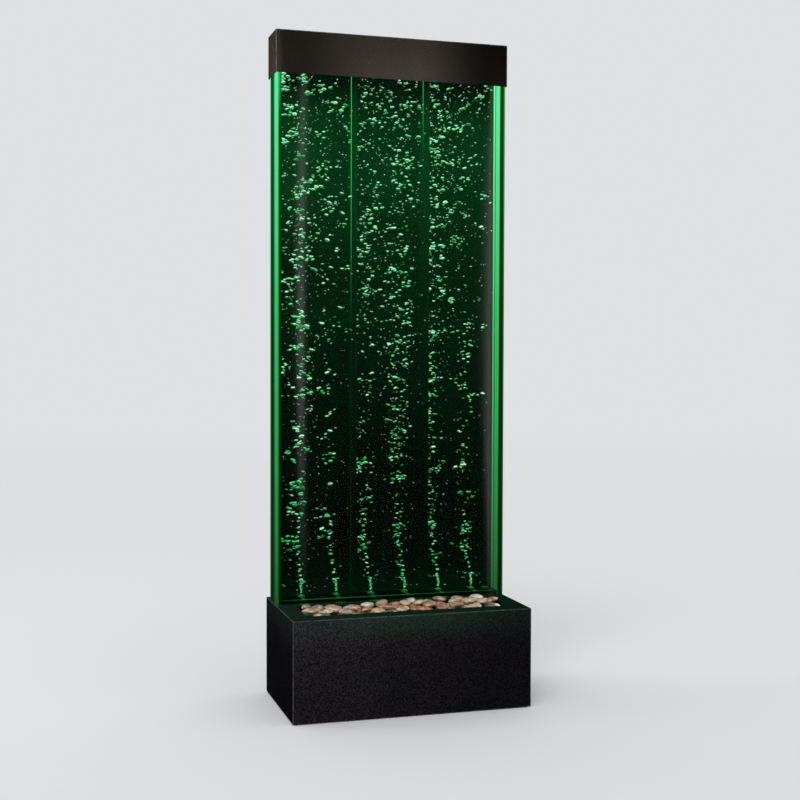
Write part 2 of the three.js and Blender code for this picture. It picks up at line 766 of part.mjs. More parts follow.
// Air tubes: soft silicone hose from each manifold outlet up to its nozzle
const airTubeDiameter = 6.5;
const tubeStraight = 14;
const airTubeSteps = 14;
for (let i = 0; i < nozzleCount; i++) {
  const [x0, x1] = [outletX(i), nozzleX(i)];
  const [z0, z1] = [spigotTop + seatGap, nozzleTip - seatGap];
  const lift = (z1 - z0) / 4;
  const route = [
    [x0, tankMiddle, z0],
    [x0, tankMiddle, z0 + tubeStraight],
    [x0 + (x1 - x0) * 0.2, tankMiddle, z0 + 1.5 * lift],
    [x0 + (x1 - x0) * 0.8, tankMiddle, z1 - 1.5 * lift],
    [x1, tankMiddle, z1 - tubeStraight],
    [x1, tankMiddle, z1],
  ];
  piece(`air_tube_${i + 1}`, flexible(airTubeDiameter, route, airTubeSteps), clearSilicone);
}

// Air pump: a diaphragm pump on rubber feet, with a ribbed cover and one outlet at the front
const pumpWidth = 140;
const pumpDepth = 90;
const pumpSideInset = 23;
const pumpFrontStep = 2;
const pumpFootHeight = 8;
const pumpFootRadius = 8;
const pumpFootInset = 15;
const pumpBaseHeight = 18;
const pumpCoverHeight = 50;
const pumpRadius = 8;
const pumpRibCount = 7;
const pumpRibPitch = 14;
const pumpRibWidth = 6;
const pumpRibDepth = 2;
const pumpOutletDrop = 22;
const pumpX = -baseInnerHalf + pumpSideInset + pumpWidth / 2;
const pumpY = tankFront - pumpFrontStep + pumpDepth / 2;
const pumpBaseBottom = plateSeat + pumpFootHeight;
const pumpBaseTop = pumpBaseBottom + pumpBaseHeight;
const pumpCoverBottom = pumpBaseTop + seatGap;
const pumpCoverTop = pumpCoverBottom + pumpCoverHeight;
const pumpOutletZ = pumpCoverTop - pumpOutletDrop;
const pumpFrontFace = pumpY - pumpDepth / 2;
const pumpFeet = [-1, 1].flatMap((side) =>
  [-1, 1].map((end) =>
    bar(pumpFootRadius, plateSeat, pumpBaseBottom + pumpBaseHeight / 2, 12).translate([
      pumpX + side * (pumpWidth / 2 - pumpFootInset),
      pumpY + end * (pumpDepth / 2 - pumpFootInset),
      0,
    ]),
  ),
);
const pumpBaseShape = roundedRectangle(pumpWidth, pumpDepth, pumpRadius, pumpX, pumpY);
const pumpBody = raised(pumpBaseShape, pumpBaseBottom, pumpBaseTop);
piece("pump_base", joined([pumpBody, ...pumpFeet]), blackRubber);
const pumpGrooves = Array.from({ length: pumpRibCount }, (_, i) => {
  const x = pumpX + (i - (pumpRibCount - 1) / 2) * pumpRibPitch;
  return block(
    x - pumpRibWidth / 2,
    x + pumpRibWidth / 2,
    pumpFrontFace + pumpRadius * 2,
    pumpFrontFace + pumpDepth - pumpRadius * 2,
    pumpCoverTop - pumpRibDepth,
    pumpCoverTop + cutOverrun,
  );
});
const pumpCover = softBox(
  pumpWidth,
  pumpDepth,
  pumpCoverBottom,
  pumpCoverTop,
  pumpRadius,
  pumpRadius / 2,
  pumpX,
  pumpY,
)
  .subtract(joined(pumpGrooves))
  .add(spigot.rotate([90, 0, 0]).translate([pumpX, pumpFrontFace, pumpOutletZ]));
piece("pump_cover", pumpCover, blackPlastic);

// Check valve: keeps water out of the pump, and lies on the base plate in the air line
const valveRadius = 9;
const valveLength = 26;
const valvePumpOffset = 115;
const valvePumpStep = 61;
const valveX = pumpX + valvePumpOffset;
const valveY = pumpFrontFace - valvePumpStep;
const valveZ = plateSeat + valveRadius;
const valveHalf = valveLength / 2;
const valveEnd = valveHalf + spigotHeight;
const valveBody = turned(
  [
    [0, -valveEnd],
    [spigotRadius, -valveEnd],
    [spigotRadius, -valveHalf],
    [valveRadius * 0.7, -valveHalf],
    [valveRadius, -valveHalf * 0.6],
    [valveRadius, valveHalf * 0.6],
    [valveRadius * 0.7, valveHalf],
    [spigotRadius, valveHalf],
    [spigotRadius, valveEnd],
    [0, valveEnd],
  ],
  14,
);
piece("check_valve", alongX(valveBody).translate([valveX, valveY, valveZ]), greyPlastic);

// Air line: pump outlet to check valve, then on to the manifold's inlet
const pumpSpigotEnd = pumpFrontFace - spigotHeight;
const valveInlet = valveX - valveEnd;
const valveOutlet = valveX + valveEnd;
const manifoldSpigotEnd = manifoldFront - spigotHeight;
const pumpTubeRoute = [
  [pumpX, pumpSpigotEnd - seatGap, pumpOutletZ],
  [pumpX, pumpSpigotEnd - tubeStraight, pumpOutletZ],
  [pumpX + 12, pumpSpigotEnd - 35, pumpOutletZ - 14],
  [pumpX + 38, valveY - 4, valveZ + 8],
  [valveInlet - tubeStraight, valveY, valveZ],
  [valveInlet - seatGap, valveY, valveZ],
];
piece("pump_tube", flexible(airTubeDiameter, pumpTubeRoute, 12), clearSilicone);
const manifoldTubeRoute = [
  [valveOutlet + seatGap, valveY, valveZ],
  [valveOutlet + tubeStraight, valveY, valveZ],
  [valveOutlet + 46, valveY + 3, valveZ + 12],
  [-14, valveY + 20, manifoldMiddle - 22],
  [0, manifoldSpigotEnd - 40, manifoldMiddle - 3],
  [0, manifoldSpigotEnd - tubeStraight, manifoldMiddle],
  [0, manifoldSpigotEnd - seatGap, manifoldMiddle],
];
piece("manifold_tube", flexible(airTubeDiameter, manifoldTubeRoute, 14), clearSilicone);

// Control box: a closed plastic case for the light and pump driver, with its own lid
const controlWidth = 120;
const controlDepth = 80;
const controlHeight = 30;
const controlLid = 5;
const controlSideInset = 78;
const controlFrontInset = 43;
const controlRadius = 4;
const controlX = baseInnerHalf - controlSideInset - controlWidth / 2;
const controlY = baseInnerFront + controlFrontInset + controlDepth / 2;
const controlTop = plateSeat + controlHeight;
const controlLidBottom = controlTop + seatGap;
const controlShape = roundedRectangle(controlWidth, controlDepth, controlRadius, controlX, controlY);
const controlBack = controlY + controlDepth / 2;
piece("control_box", raised(controlShape, plateSeat, controlTop), blackPlastic);
piece(
  "control_box_lid",
  softBox(
    controlWidth,
    controlDepth,
    controlLidBottom,
    controlLidBottom + controlLid,
    controlRadius,
    controlLid / 4,
    controlX,
    controlY,
  ),
  blackPlastic,
);

// Service panel: a dished steel cover in the housing's rear opening, with louvres, switch, inlet and tap
const dishDepth = 23;
const dishGap = 3;
const louvreWidth = 90;
const louvrePitch = 17;
const louvreRadius = 7;
const louvreRows = 7;
const louvrePlaceShares = [-0.7, -0.3];
const switchPlaceShare = 0.23;
const switchCutWidth = 21;
const switchCutHeight = 27;
const inletPlaceShare = 0.45;
const controlsRise = 125;
const inletRadius = 6;
const tapPlaceShare = 0.78;
const tapRise = 52;
const tapRadius = 8;
const panelHoleClearance = 0.4;
const louvreX = louvrePlaceShares.map((share) => rearHalf * share);
const switchX = rearHalf * switchPlaceShare;
const inletX = rearHalf * inletPlaceShare;
const tapX = rearHalf * tapPlaceShare;
const controlsZ = rearLow + controlsRise;
const tapZ = rearLow + tapRise;
const flangeFace = rearWallFace + seatGap + sheet;
const dishHalf = rearHalf - dishGap;
const dishLow = rearLow + dishGap;
const dishHigh = rearHigh - dishGap;
const dishFace = flangeFace - dishDepth;
const dishBackFace = dishFace - sheet;
const louvreMiddle = (dishLow + dishHigh) / 2;
const louvreTopZ = (row) => louvreMiddle + ((louvreRows - 1) / 2 - row) * louvrePitch + louvreRadius / 2;
const louvres = louvreX.flatMap((x) =>
  Array.from({ length: louvreRows }, (_, row) => [x, louvreTopZ(row)]),
);
function quarterRound(radius, x0, x1, z) {
  const shape = new THREE.Shape();
  shape.moveTo(dishFace - sheet / 2, z - radius);
  shape.lineTo(dishFace, z - radius);
  shape.lineTo(dishFace + radius, z - radius);
  shape.absarc(dishFace, z - radius, radius, 0, Math.PI / 2);
  shape.lineTo(dishFace - sheet / 2, z);
  return runAcross(shape, x0, x1, 4);
}
const hoods = louvres.map(([x, z]) =>
  quarterRound(louvreRadius, x - louvreWidth / 2, x + louvreWidth / 2, z),
);
const hoodWall = 1.2;
const hoodHollows = louvres.map(([x, z]) => {
  const [x0, x1] = [x - louvreWidth / 2 + hoodWall, x + louvreWidth / 2 - hoodWall];
  const inner = louvreRadius - hoodWall;
  const shape = new THREE.Shape();
  shape.moveTo(dishBackFace - cutOverrun, z - louvreRadius - hoodWall / 2);
  shape.lineTo(dishFace + inner, z - louvreRadius - hoodWall / 2);
  shape.lineTo(dishFace + inner, z - louvreRadius);
  shape.absarc(dishFace, z - louvreRadius, inner, 0, Math.PI / 2);
  shape.lineTo(dishBackFace - cutOverrun, z - louvreRadius + inner);
  return runAcross(shape, x0, x1, 4);
});
const panelHole = (radius, x, z) =>
  alongY(bar(radius + panelHoleClearance, dishBackFace - cutOverrun, dishFace + cutOverrun, 20))
    .translate([x, 0, z]);
const servicePanel = block(
  -rearHalf - panelFlange,
  rearHalf + panelFlange,
  rearWallFace + seatGap,
  flangeFace,
  rearLow - panelFlange,
  rearHigh + panelFlange,
)
  .add(block(-dishHalf, dishHalf, dishBackFace, flangeFace - sheet / 2, dishLow, dishHigh))
  .subtract(
    block(
      -dishHalf + sheet,
      dishHalf - sheet,
      dishFace,
      flangeFace + cutOverrun,
      dishLow + sheet,
      dishHigh - sheet,
    ),
  )
  .add(joined(hoods))
  .subtract(joined(hoodHollows))
  .subtract(
    block(
      switchX - switchCutWidth / 2,
      switchX + switchCutWidth / 2,
      dishBackFace - cutOverrun,
      dishFace + cutOverrun,
      controlsZ - switchCutHeight / 2,
      controlsZ + switchCutHeight / 2,
    ),
  )
  .subtract(panelHole(inletRadius, inletX, controlsZ))
  .subtract(panelHole(tapRadius, tapX, tapZ))
  .subtract(thumbScrewHole(-1, rearWallFace - cutOverrun, flangeFace + cutOverrun))
  .subtract(thumbScrewHole(1, rearWallFace - cutOverrun, flangeFace + cutOverrun));
piece("service_panel", servicePanel, blackPowderCoat);

// Thumb screws: two knurled heads that hold the service panel to the housing
const thumbHeadRadius = 6.5;
const thumbHeadHeight = 6;
const thumbShaftLength = 12;
const knurlCount = 14;
const knurlDepth = 0.8;
const knurl = new THREE.Shape(
  Array.from({ length: knurlCount * 2 }, (_, i) => {
    const radius = thumbHeadRadius - (i % 2) * knurlDepth;
    const angle = (i / (knurlCount * 2)) * 2 * Math.PI;
    return new THREE.Vector2(radius * Math.cos(angle), radius * Math.sin(angle));
  }),
);
const thumbSeat = flangeFace + seatGap;
const thumbShaftStart = flangeFace - thumbShaftLength;
const thumbScrew = joined([
  runBack(knurl, thumbSeat, thumbSeat + thumbHeadHeight),
  alongY(bar(thumbScrewRadius, thumbShaftStart, thumbSeat + thumbHeadHeight / 2, 12)),
]);
piece("thumb_screw_left", thumbScrew.translate([-thumbScrewX, 0, thumbScrewZ]), zincSteel);
piece("thumb_screw_right", thumbScrew.translate([thumbScrewX, 0, thumbScrewZ]), zincSteel);

// Power switch: a rocker that tips on two trunnions in a snap-in frame
const bezelWidth = 27;
const bezelHeight = 33;
const bezelThickness = 2.5;
const bezelRadius = 3;
const switchBodyDepth = 20;
const switchFit = 0.3;
const rockerWidth = 15;
const rockerHalfHeight = 10;
const rockerCrown = 5;
const rockerTip = 6.5;
const rockerRoot = 5;
const rockerRootHalf = 7;
const rockerFit = 0.4;
const pocketHalfHeight = 12;
const pocketDepth = 11;
const trunnionRadius = 1.5;
const trunnionLength = 1.6;
const trunnionFit = 0.4;
const pivotDrop = 1;
const rockerTilt = -12;
const bezelBack = dishFace + seatGap;
const bezelFace = bezelBack + bezelThickness;
const pivotY = bezelFace - pivotDrop;
const trunnionHole = alongX(
  bar(
    trunnionRadius + trunnionFit,
    -rockerWidth / 2 - trunnionLength - 2 * rockerFit,
    rockerWidth / 2 + trunnionLength + 2 * rockerFit,
    12,
  ),
).translate([switchX, pivotY - rockerRoot / 2, controlsZ]);
const switchBezel = runBack(
  roundedRectangle(bezelWidth, bezelHeight, bezelRadius, switchX, controlsZ),
  bezelBack,
  bezelFace,
);
const switchBody = block(
  switchX - switchCutWidth / 2 + switchFit,
  switchX + switchCutWidth / 2 - switchFit,
  bezelFace - switchBodyDepth,
  bezelBack + bezelThickness / 2,
  controlsZ - switchCutHeight / 2 + switchFit,
  controlsZ + switchCutHeight / 2 - switchFit,
);
const switchPocket = block(
  switchX - rockerWidth / 2 - rockerFit,
  switchX + rockerWidth / 2 + rockerFit,
  pivotY - pocketDepth,
  bezelFace + cutOverrun,
  controlsZ - pocketHalfHeight,
  controlsZ + pocketHalfHeight,
);
const switchFrame = switchBezel.add(switchBody).subtract(switchPocket).subtract(trunnionHole);
piece("switch_frame", switchFrame, blackPlastic);
const rockerSection = polygon([
  [-rockerRoot, -rockerRootHalf],
  [0, -rockerHalfHeight],
  [rockerTip, -rockerHalfHeight],
  [rockerCrown, 0],
  [rockerTip, rockerHalfHeight],
  [0, rockerHalfHeight],
  [-rockerRoot, rockerRootHalf],
]);
const trunnionReach = rockerWidth / 2 + trunnionLength;
const rocker = runAcross(rockerSection, -rockerWidth / 2, rockerWidth / 2)
  .translate([0, rockerRoot / 2, 0])
  .add(alongX(bar(trunnionRadius, -trunnionReach, trunnionReach, 10)))
  .rotate([rockerTilt, 0, 0])
  .translate([switchX, pivotY - rockerRoot / 2, controlsZ]);
piece("power_rocker", rocker, blackPlastic);

// Power inlet: a panel socket for the low-voltage lead
const inletFlangeRadius = 8.5;
const inletFlangeThickness = 2;
const inletBoreRadius = 2.9;
const inletBoreDepth = 9;
const inletPinRadius = 1;
const inletLength = 16;
const inletFace = dishFace + seatGap + inletFlangeThickness;
const inletProfile = [
  [0, inletFace - inletLength],
  [inletRadius, inletFace - inletLength],
  [inletRadius, dishFace + seatGap],
  [inletFlangeRadius, dishFace + seatGap],
  [inletFlangeRadius, inletFace],
  [inletBoreRadius, inletFace],
  [inletBoreRadius, inletFace - inletBoreDepth],
  [inletPinRadius, inletFace - inletBoreDepth],
  [inletPinRadius, inletFace - inletFlangeThickness],
  [0, inletFace - inletFlangeThickness],
];
piece("power_inlet", alongY(turned(inletProfile, 20)).translate([inletX, 0, controlsZ]), blackPlastic);

// Drain tap: a quarter-turn tap through the panel, its spout pointing down, with a wing handle
const tapFlangeRadius = 12;
const tapFlangeThickness = 3;
const tapBarrelRadius = 9;
const tapBarrelLength = 13;
const tapStub = 14;
const tapSpoutRadius = 6;
const tapSpoutBore = 4;
const tapSpoutLength = 24;
const tapHandleThickness = 7;
const tapWingLength = 36;
const tapWingWidth = 9;
const tapHubRadius = 8;
const tapBack = dishFace + seatGap;
const tapBarrelEnd = tapBack + tapFlangeThickness + tapBarrelLength;
const spoutY = tapBack + tapFlangeThickness + tapBarrelLength / 2;
const tapBarrel = turned(
  [
    [0, dishFace - tapStub],
    [tapRadius, dishFace - tapStub],
    [tapRadius, tapBack],
    [tapFlangeRadius, tapBack],
    [tapFlangeRadius, tapBack + tapFlangeThickness],
    [tapBarrelRadius, tapBack + tapFlangeThickness],
    [tapBarrelRadius, tapBarrelEnd],
    [0, tapBarrelEnd],
  ],
  20,
);
const tapSpout = bar(tapSpoutRadius, -tapSpoutLength, 0, 16);
const spoutBore = bar(tapSpoutBore, -tapSpoutLength - cutOverrun, -tapBarrelRadius, 12);
const tapBody = alongY(tapBarrel)
  .add(tapSpout.translate([0, spoutY, 0]))
  .subtract(spoutBore.translate([0, spoutY, 0]))
  .translate([tapX, 0, tapZ]);
piece("drain_tap", tapBody, brass);
const tapHandleBack = tapBarrelEnd + seatGap;
const wing = roundedRectangle(tapWingLength, tapWingWidth, tapWingWidth / 2.01);
const tapHandle = joined([
  runBack(wing, tapHandleBack + tapHandleThickness / 4, tapHandleBack + tapHandleThickness, 5),
  alongY(bar(tapHubRadius, tapHandleBack, tapHandleBack + tapHandleThickness * 0.9, 16)),
]);
piece("drain_tap_handle", tapHandle.translate([tapX, 0, tapZ]), blackPlastic);

// Drain hose: from the spigot under the tank down to the tap's inner end
const drainHoseDiameter = 12;
const drainHoseRoute = [
  [drainX, tankMiddle, drainTip - seatGap],
  [drainX, tankMiddle, drainTip - 30],
  [drainX - 4, tankMiddle + 2, drainTip - 80],
  [drainX - 20, tankMiddle + 8, tapZ + 40],
  [tapX + 14, tankMiddle + 20, tapZ + 10],
  [tapX, dishFace - tapStub - 18, tapZ],
  [tapX, dishFace - tapStub - seatGap, tapZ],
];
piece("drain_hose", flexible(drainHoseDiameter, drainHoseRoute, 14, 5), clearSilicone);

// Leads: thin cables between the control box and what it drives
const leadDiameter = 5;
const leadLift = 0.8;
const leadHeight = plateSeat + leadDiameter / 2 + leadLift;
const leadEntry = plateSeat + controlHeight / 2;
const leadWallInset = 30;
const leadFrontRun = baseInnerFront + leadWallInset;
const controlLeft = controlX - controlWidth / 2;
const controlRight = controlX + controlWidth / 2;
const lightBarMiddleY = (lightBarFront + lightBarBack) / 2;
const lightBarMiddleZ = (lightBarBottom + lightBarTop) / 2;
const leads = {
  light_lead: [
    [controlRight + seatGap, controlY, leadEntry],
    [controlRight + 14, controlY, leadEntry],
    [controlRight + 34, controlY + 22, leadEntry + 18],
    [baseInnerHalf - 22, trayMiddle, 110],
    [baseInnerHalf - 18, tankFront - 15, 185],
    [lightBarHalf + 16, lightBarMiddleY - 6, lightBarMiddleZ - 34],
    [lightBarHalf + 14, lightBarMiddleY, lightBarMiddleZ - 10],
    [lightBarHalf + 8, lightBarMiddleY, lightBarMiddleZ],
    [lightBarHalf + seatGap, lightBarMiddleY, lightBarMiddleZ],
  ],
  pump_lead: [
    [controlLeft - seatGap, controlY, leadEntry],
    [controlLeft - 14, controlY, leadEntry],
    [controlLeft - 34, controlY - 12, leadHeight + 4],
    [controlLeft - 70, leadFrontRun + 8, leadHeight],
    [0, leadFrontRun, leadHeight],
    [-90, leadFrontRun, leadHeight],
    [pumpX + 20, leadFrontRun + 4, leadHeight],
    [pumpX - 30, leadFrontRun + 34, leadHeight + 1],
    [pumpX - 45, pumpFrontFace - 60, leadHeight + 3],
    [pumpX - 45, pumpFrontFace - 18, pumpBaseTop - 8],
    [pumpX - 45, pumpFrontFace - seatGap, pumpBaseTop - 8],
  ],
  inlet_lead: [
    [inletX, inletFace - inletLength - seatGap, controlsZ],
    [inletX, inletFace - inletLength - 14, controlsZ],
    [inletX + 24, tankBack - 26, controlsZ - 30],
    [inletX + 48, tankMiddle, 70],
    [controlX + 12, tankFront, leadHeight + 8],
    [controlX + 14, controlBack + 30, leadHeight + 3],
    [controlX + 14, controlBack + 12, leadEntry],
    [controlX + 14, controlBack + seatGap, leadEntry],
  ],
  switch_lead: [
    [switchX, bezelFace - switchBodyDepth - seatGap, controlsZ],
    [switchX, bezelFace - switchBodyDepth - 12, controlsZ],
    [switchX + 16, tankBack - 28, controlsZ - 40],
    [legX + 12, tankBack - 30, 62],
    [legX + 30, tankMiddle - 10, 30],
    [legX + 34, tankFront - 10, leadHeight + 8],
    [controlX - 14, controlBack + 30, leadHeight + 3],
    [controlX - 14, controlBack + 12, leadEntry],
    [controlX - 14, controlBack + seatGap, leadEntry],
  ],
};
for (const [name, route] of Object.entries(leads)) {
  piece(name, flexible(leadDiameter, route, 18), leadSheath);
}

export default wall;
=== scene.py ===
import math
import random

import bpy
import numpy as np
from mathutils import Euler, Matrix, Vector


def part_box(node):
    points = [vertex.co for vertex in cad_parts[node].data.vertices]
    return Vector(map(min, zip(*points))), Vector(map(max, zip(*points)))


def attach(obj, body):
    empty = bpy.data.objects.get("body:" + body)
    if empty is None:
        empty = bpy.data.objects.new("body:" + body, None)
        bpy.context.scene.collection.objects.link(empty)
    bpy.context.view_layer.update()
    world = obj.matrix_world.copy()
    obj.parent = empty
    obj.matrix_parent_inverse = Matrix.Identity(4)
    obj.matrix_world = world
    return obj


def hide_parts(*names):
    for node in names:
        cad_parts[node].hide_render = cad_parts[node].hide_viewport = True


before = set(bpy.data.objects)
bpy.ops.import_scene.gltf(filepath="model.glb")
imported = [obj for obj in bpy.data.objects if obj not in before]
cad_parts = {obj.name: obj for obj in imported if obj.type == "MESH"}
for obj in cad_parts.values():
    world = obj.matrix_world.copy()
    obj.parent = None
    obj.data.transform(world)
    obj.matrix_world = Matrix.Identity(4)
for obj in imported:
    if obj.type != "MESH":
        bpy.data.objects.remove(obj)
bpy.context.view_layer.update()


# The room: a plain pale floor and an open pale background under soft studio light. The camera
# stands left of the middle, about 3.5 m in front of the wall and a little above its mid height.
class Wire:
    """An output of a material's nodes that can stand in sums, and a way to add more nodes."""

    def __init__(self, tree, socket=None):
        self.tree = tree
        self.socket = socket

    def node(self, kind, settings=None, inputs=None, output=0):
        """Adds a node with its settings and inputs, and gives one of its outputs."""
        made = self.tree.nodes.new(kind)
        for name, value in (settings or {}).items():
            if name == "stops":
                ramp = made.color_ramp.elements
                while len(ramp) < len(value):
                    ramp.new(0.5)
                for stop, (place, colour) in zip(ramp, value):
                    stop.position = place
                    stop.color = (*colour, 1)
            else:
                setattr(made, name, value)
        for name, value in (inputs or {}).items():
            if isinstance(value, Wire):
                self.tree.links.new(value.socket, made.inputs[name])
            else:
                made.inputs[name].default_value = value
        return Wire(self.tree, made.outputs[output] if made.outputs else None)

    def maths(self, operation, *values):
        """A sum that has no operator of its own."""
        return self.node("ShaderNodeMath", {"operation": operation}, dict(enumerate(values)))

    def __add__(self, other):
        return self.maths("ADD", self, other)

    def __sub__(self, other):
        return self.maths("SUBTRACT", self, other)

    def __mul__(self, other):
        return self.maths("MULTIPLY", self, other)

    def __truediv__(self, other):
        return self.maths("DIVIDE", self, other)

    def __rsub__(self, other):
        return self.maths("SUBTRACT", other, self)

    __radd__ = __add__
    __rmul__ = __mul__

    def __abs__(self):
        return self.maths("ABSOLUTE", self)

    def rise(self, low, high, start=0, end=1):
        """A smooth change from start at low to end at high."""
        ends = {"From Min": low, "From Max": high, "To Min": start, "To Max": end}
        return self.node(
            "ShaderNodeMapRange", {"interpolation_type": "SMOOTHSTEP"}, {"Value": self, **ends}
        )

    def between(self, low, high, soft):
        """1 from low to high, and 0 past a soft edge on both sides."""
        return self.rise(low - soft, low) * self.rise(high, high + soft, 1, 0)

    def blend(self, first, second):
        """The first colour where this is 0, and the second where it is 1."""
        colours = [c if isinstance(c, Wire) else (*c, 1) for c in (first, second)]
        ends = {0: self, 6: colours[0], 7: colours[1]}
        return self.node("ShaderNodeMix", {"data_type": "RGBA"}, ends, 2)

    def ramp(self, *stops):
        """The colour at this place along a row of (place, colour) stops."""
        return self.node("ShaderNodeValToRGB", {"stops": stops}, {"Fac": self})


def parts_of(place):
    """The x, y and z of a place as three numbers."""
    return [place.node("ShaderNodeSeparateXYZ", {}, {0: place}, i) for i in range(3)]


def bare_tree(owner):
    """An emptied node tree, as a Wire to add nodes from."""
    owner.use_nodes = True
    owner.node_tree.nodes.clear()
    return Wire(owner.node_tree)


HORIZON = (0.74, 0.75, 0.76)
DAYLIGHT = 0.68
world = bpy.data.worlds.new("open_room")
bpy.context.scene.world = world
room = bare_tree(world)
rays = [room.node("ShaderNodeLightPath", {}, {}, name) for name in (
    "Is Camera Ray", "Is Glossy Ray", "Is Transmission Ray")]
seen = room.maths("MAXIMUM", room.maths("MAXIMUM", rays[0], rays[1]), rays[2])
lit = (0.96 * DAYLIGHT, 0.98 * DAYLIGHT, DAYLIGHT)
sky = seen.node("ShaderNodeBackground", {}, {"Color": seen.blend(lit, HORIZON)})
room.node("ShaderNodeOutputWorld", {}, {"Surface": sky})

bpy.ops.object.select_all(action="DESELECT")
bpy.ops.mesh.primitive_plane_add(size=120)
floor = bpy.context.object
floor.name = "studio_floor"
paving = bpy.data.materials.new("pale_floor")
ground = bare_tree(paving)
here = ground.node("ShaderNodeTexCoord", {}, {}, "Object")
from_middle = here.node("ShaderNodeVectorMath", {"operation": "LENGTH"}, {0: here}, 1)
fade = from_middle.rise(3, 14) * here.node("ShaderNodeLightPath", {}, {}, "Is Camera Ray")
matt = here.node("ShaderNodeBsdfDiffuse", {}, {"Color": (0.84, 0.84, 0.84, 1)})
haze = here.node("ShaderNodeEmission", {}, {"Color": (*HORIZON, 1)})
surface = here.node("ShaderNodeMixShader", {}, {0: fade, 1: matt, 2: haze})
ground.node("ShaderNodeOutputMaterial", {}, {"Surface": surface})
floor.data.materials.append(paving)

bpy.ops.object.light_add(type="SUN", rotation=(math.radians(42), 0, math.radians(-32)))
daylight = bpy.context.object
daylight.name = "wide_soft_light"
daylight.data.angle = math.radians(35)
daylight.data.energy = 0.85


def softbox(name, place, aim, width, height, watts, only_glints=False):
    """A rectangular studio light at a place, turned to face a point. It may light a surface in
    its glints only."""
    turn = (Vector(aim) - Vector(place)).to_track_quat("-Z", "Y").to_euler()
    bpy.ops.object.light_add(type="AREA", location=place, rotation=turn)
    box = bpy.context.object
    box.name = name
    box.data.shape = "RECTANGLE"
    box.data.size = width
    box.data.size_y = height
    box.data.energy = watts
    box.visible_camera = False
    box.visible_diffuse = not only_glints


softbox("left_rim_light", (-2.6, 0.9, 2.6), (0, 0, 1.6), 0.9, 0.9, 10)
softbox("rear_light", (1.2, 3.0, 2.0), (0, 0.17, 0.4), 3.4, 3.4, 60, True)
softbox("left_strip_light", (0.404, -3.0, 1.28), (0.404, 0, 1.28), 0.02, 1.88, 6.8, True)
softbox("right_strip_light", (1.421, -3.0, 1.10), (1.421, 0, 1.10), 0.02, 2.2, 8, True)

bpy.ops.object.camera_add()
camera = bpy.context.object
camera.name = "camera"
camera.data.sensor_width = 36
camera.data.lens = 59.17
camera.matrix_world = (
    Matrix.Translation((-1.0285, -3.4732, 0.960))
    @ Matrix.Rotation(math.radians(-16.64), 4, "Z")
    @ Matrix.Rotation(math.radians(87.98), 4, "X")
    @ Matrix.Rotation(math.radians(0.17), 4, "Z")
)
bpy.context.scene.camera = camera
bpy.context.scene.view_settings.view_transform = "Standard"


# Steel shell: the base housing, its bottom plate, the pebble tray and the rails are folded from
# 2 mm steel sheet and have a baked black powder coat with a fine pebbled grain.
BASE_SIDE, BASE_BACK, DECK_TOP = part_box("base_housing")[1]


def new_finish(name):
    """A material, and the place on its object that its patterns start from."""
    made = bpy.data.materials.new(name)
    return made, bare_tree(made).node("ShaderNodeTexCoord", {}, {}, "Object")


def close_finish(place, film=None, **sockets):
    """Adds the shader with its constants and patterns, any thin film over it as its share and
    its gloss, and the material's output."""
    named = {name.replace("_", " "): value for name, value in sockets.items()}
    surface = place.node("ShaderNodeBsdfPrincipled", {}, named)
    if film:
        surface = place.node("ShaderNodeMixShader", {}, {0: film[0], 1: surface, 2: film[1]})
    place.node("ShaderNodeOutputMaterial", {}, {"Surface": surface})


def grain(place, scale, detail, roughness=0.5, stretch=(1, 1, 1)):
    """A soft noise of a given scale over a surface."""
    scaled = place.node("ShaderNodeMapping", {}, {"Vector": place, "Scale": stretch})
    sizes = {"Vector": scaled, "Scale": scale, "Detail": detail, "Roughness": roughness}
    return scaled.node("ShaderNodeTexNoise", {}, sizes)


def bumped(height, distance, strength):
    """A surface normal raised by a height pattern."""
    values = {"Height": height, "Distance": distance, "Strength": strength}
    return height.node("ShaderNodeBump", {}, values)


def dress(finish, *nodes):
    """Gives CAD nodes a finish."""
    for node in nodes:
        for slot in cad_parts[node].material_slots:
            slot.material = finish


def rubbed_highlit_folds(place, half_x, half_y, middle_y, top):
    """1 along the folds of a steel box, where handling has thinned and polished the coat and an
    edge highlight is painted.
    """
    x, y, z = parts_of(place)
    gaps = (half_x - abs(x), half_y - abs(y - middle_y), top - z)
    near = [gap.rise(0.0008, 0.0034, 1, 0) for gap in gaps]
    folds = near[0] * near[1] + near[0] * near[2] + near[1] * near[2]
    return folds * grain(place, 45, 3.0).rise(0.3, 0.65, 0.25, 1)


def powder_coat(name, dark, light, gloss, folds=None, rub_and_highlight=0.0, painted_light=None, spill=None):
    """Baked powder coat: pebbled grain, paler on its peaks, with any painted light and shade
    across a panel, folds rubbed smoother and painted paler as highlights, and any painted green
    glow."""
    finish, place = new_finish(name)
    fine = grain(place, 1000, 3.0, 0.65)
    coarse = grain(place, 380, 3.0, 0.75)
    patches = grain(place, 5, 2.0)
    peaks = fine.rise(0.42, 0.66) * 0.35 + coarse.rise(0.45, 0.58) * 0.65
    shade = 0.24 + patches * 0.32
    # Painted light and shade, where given, scale the tone from place to place.
    if painted_light:
        shade = shade * painted_light(place)
    tone = shade.blend((0, 0, 0), peaks.blend(dark, light))
    rough = 0.68 - peaks * 0.2
    # Folds are painted paler as edge highlights, and made smoother where rubbed.
    if folds:
        worn_highlit = rubbed_highlit_folds(place, *folds)
        tone = (worn_highlit * rub_and_highlight).blend(tone, (0.24, 0.25, 0.25))
        rough = rough - worn_highlit * 0.15
    sockets = {
        "Base_Color": tone,
        "Roughness": rough,
        "Normal": bumped(fine * 0.4 + coarse, 0.001, 0.6),
        "Specular_IOR_Level": gloss,
    }
    if spill:
        sockets["Emission_Color"] = spill(place)
        sockets["Emission_Strength"] = 1.0
    close_finish(place, **sockets)
    return finish


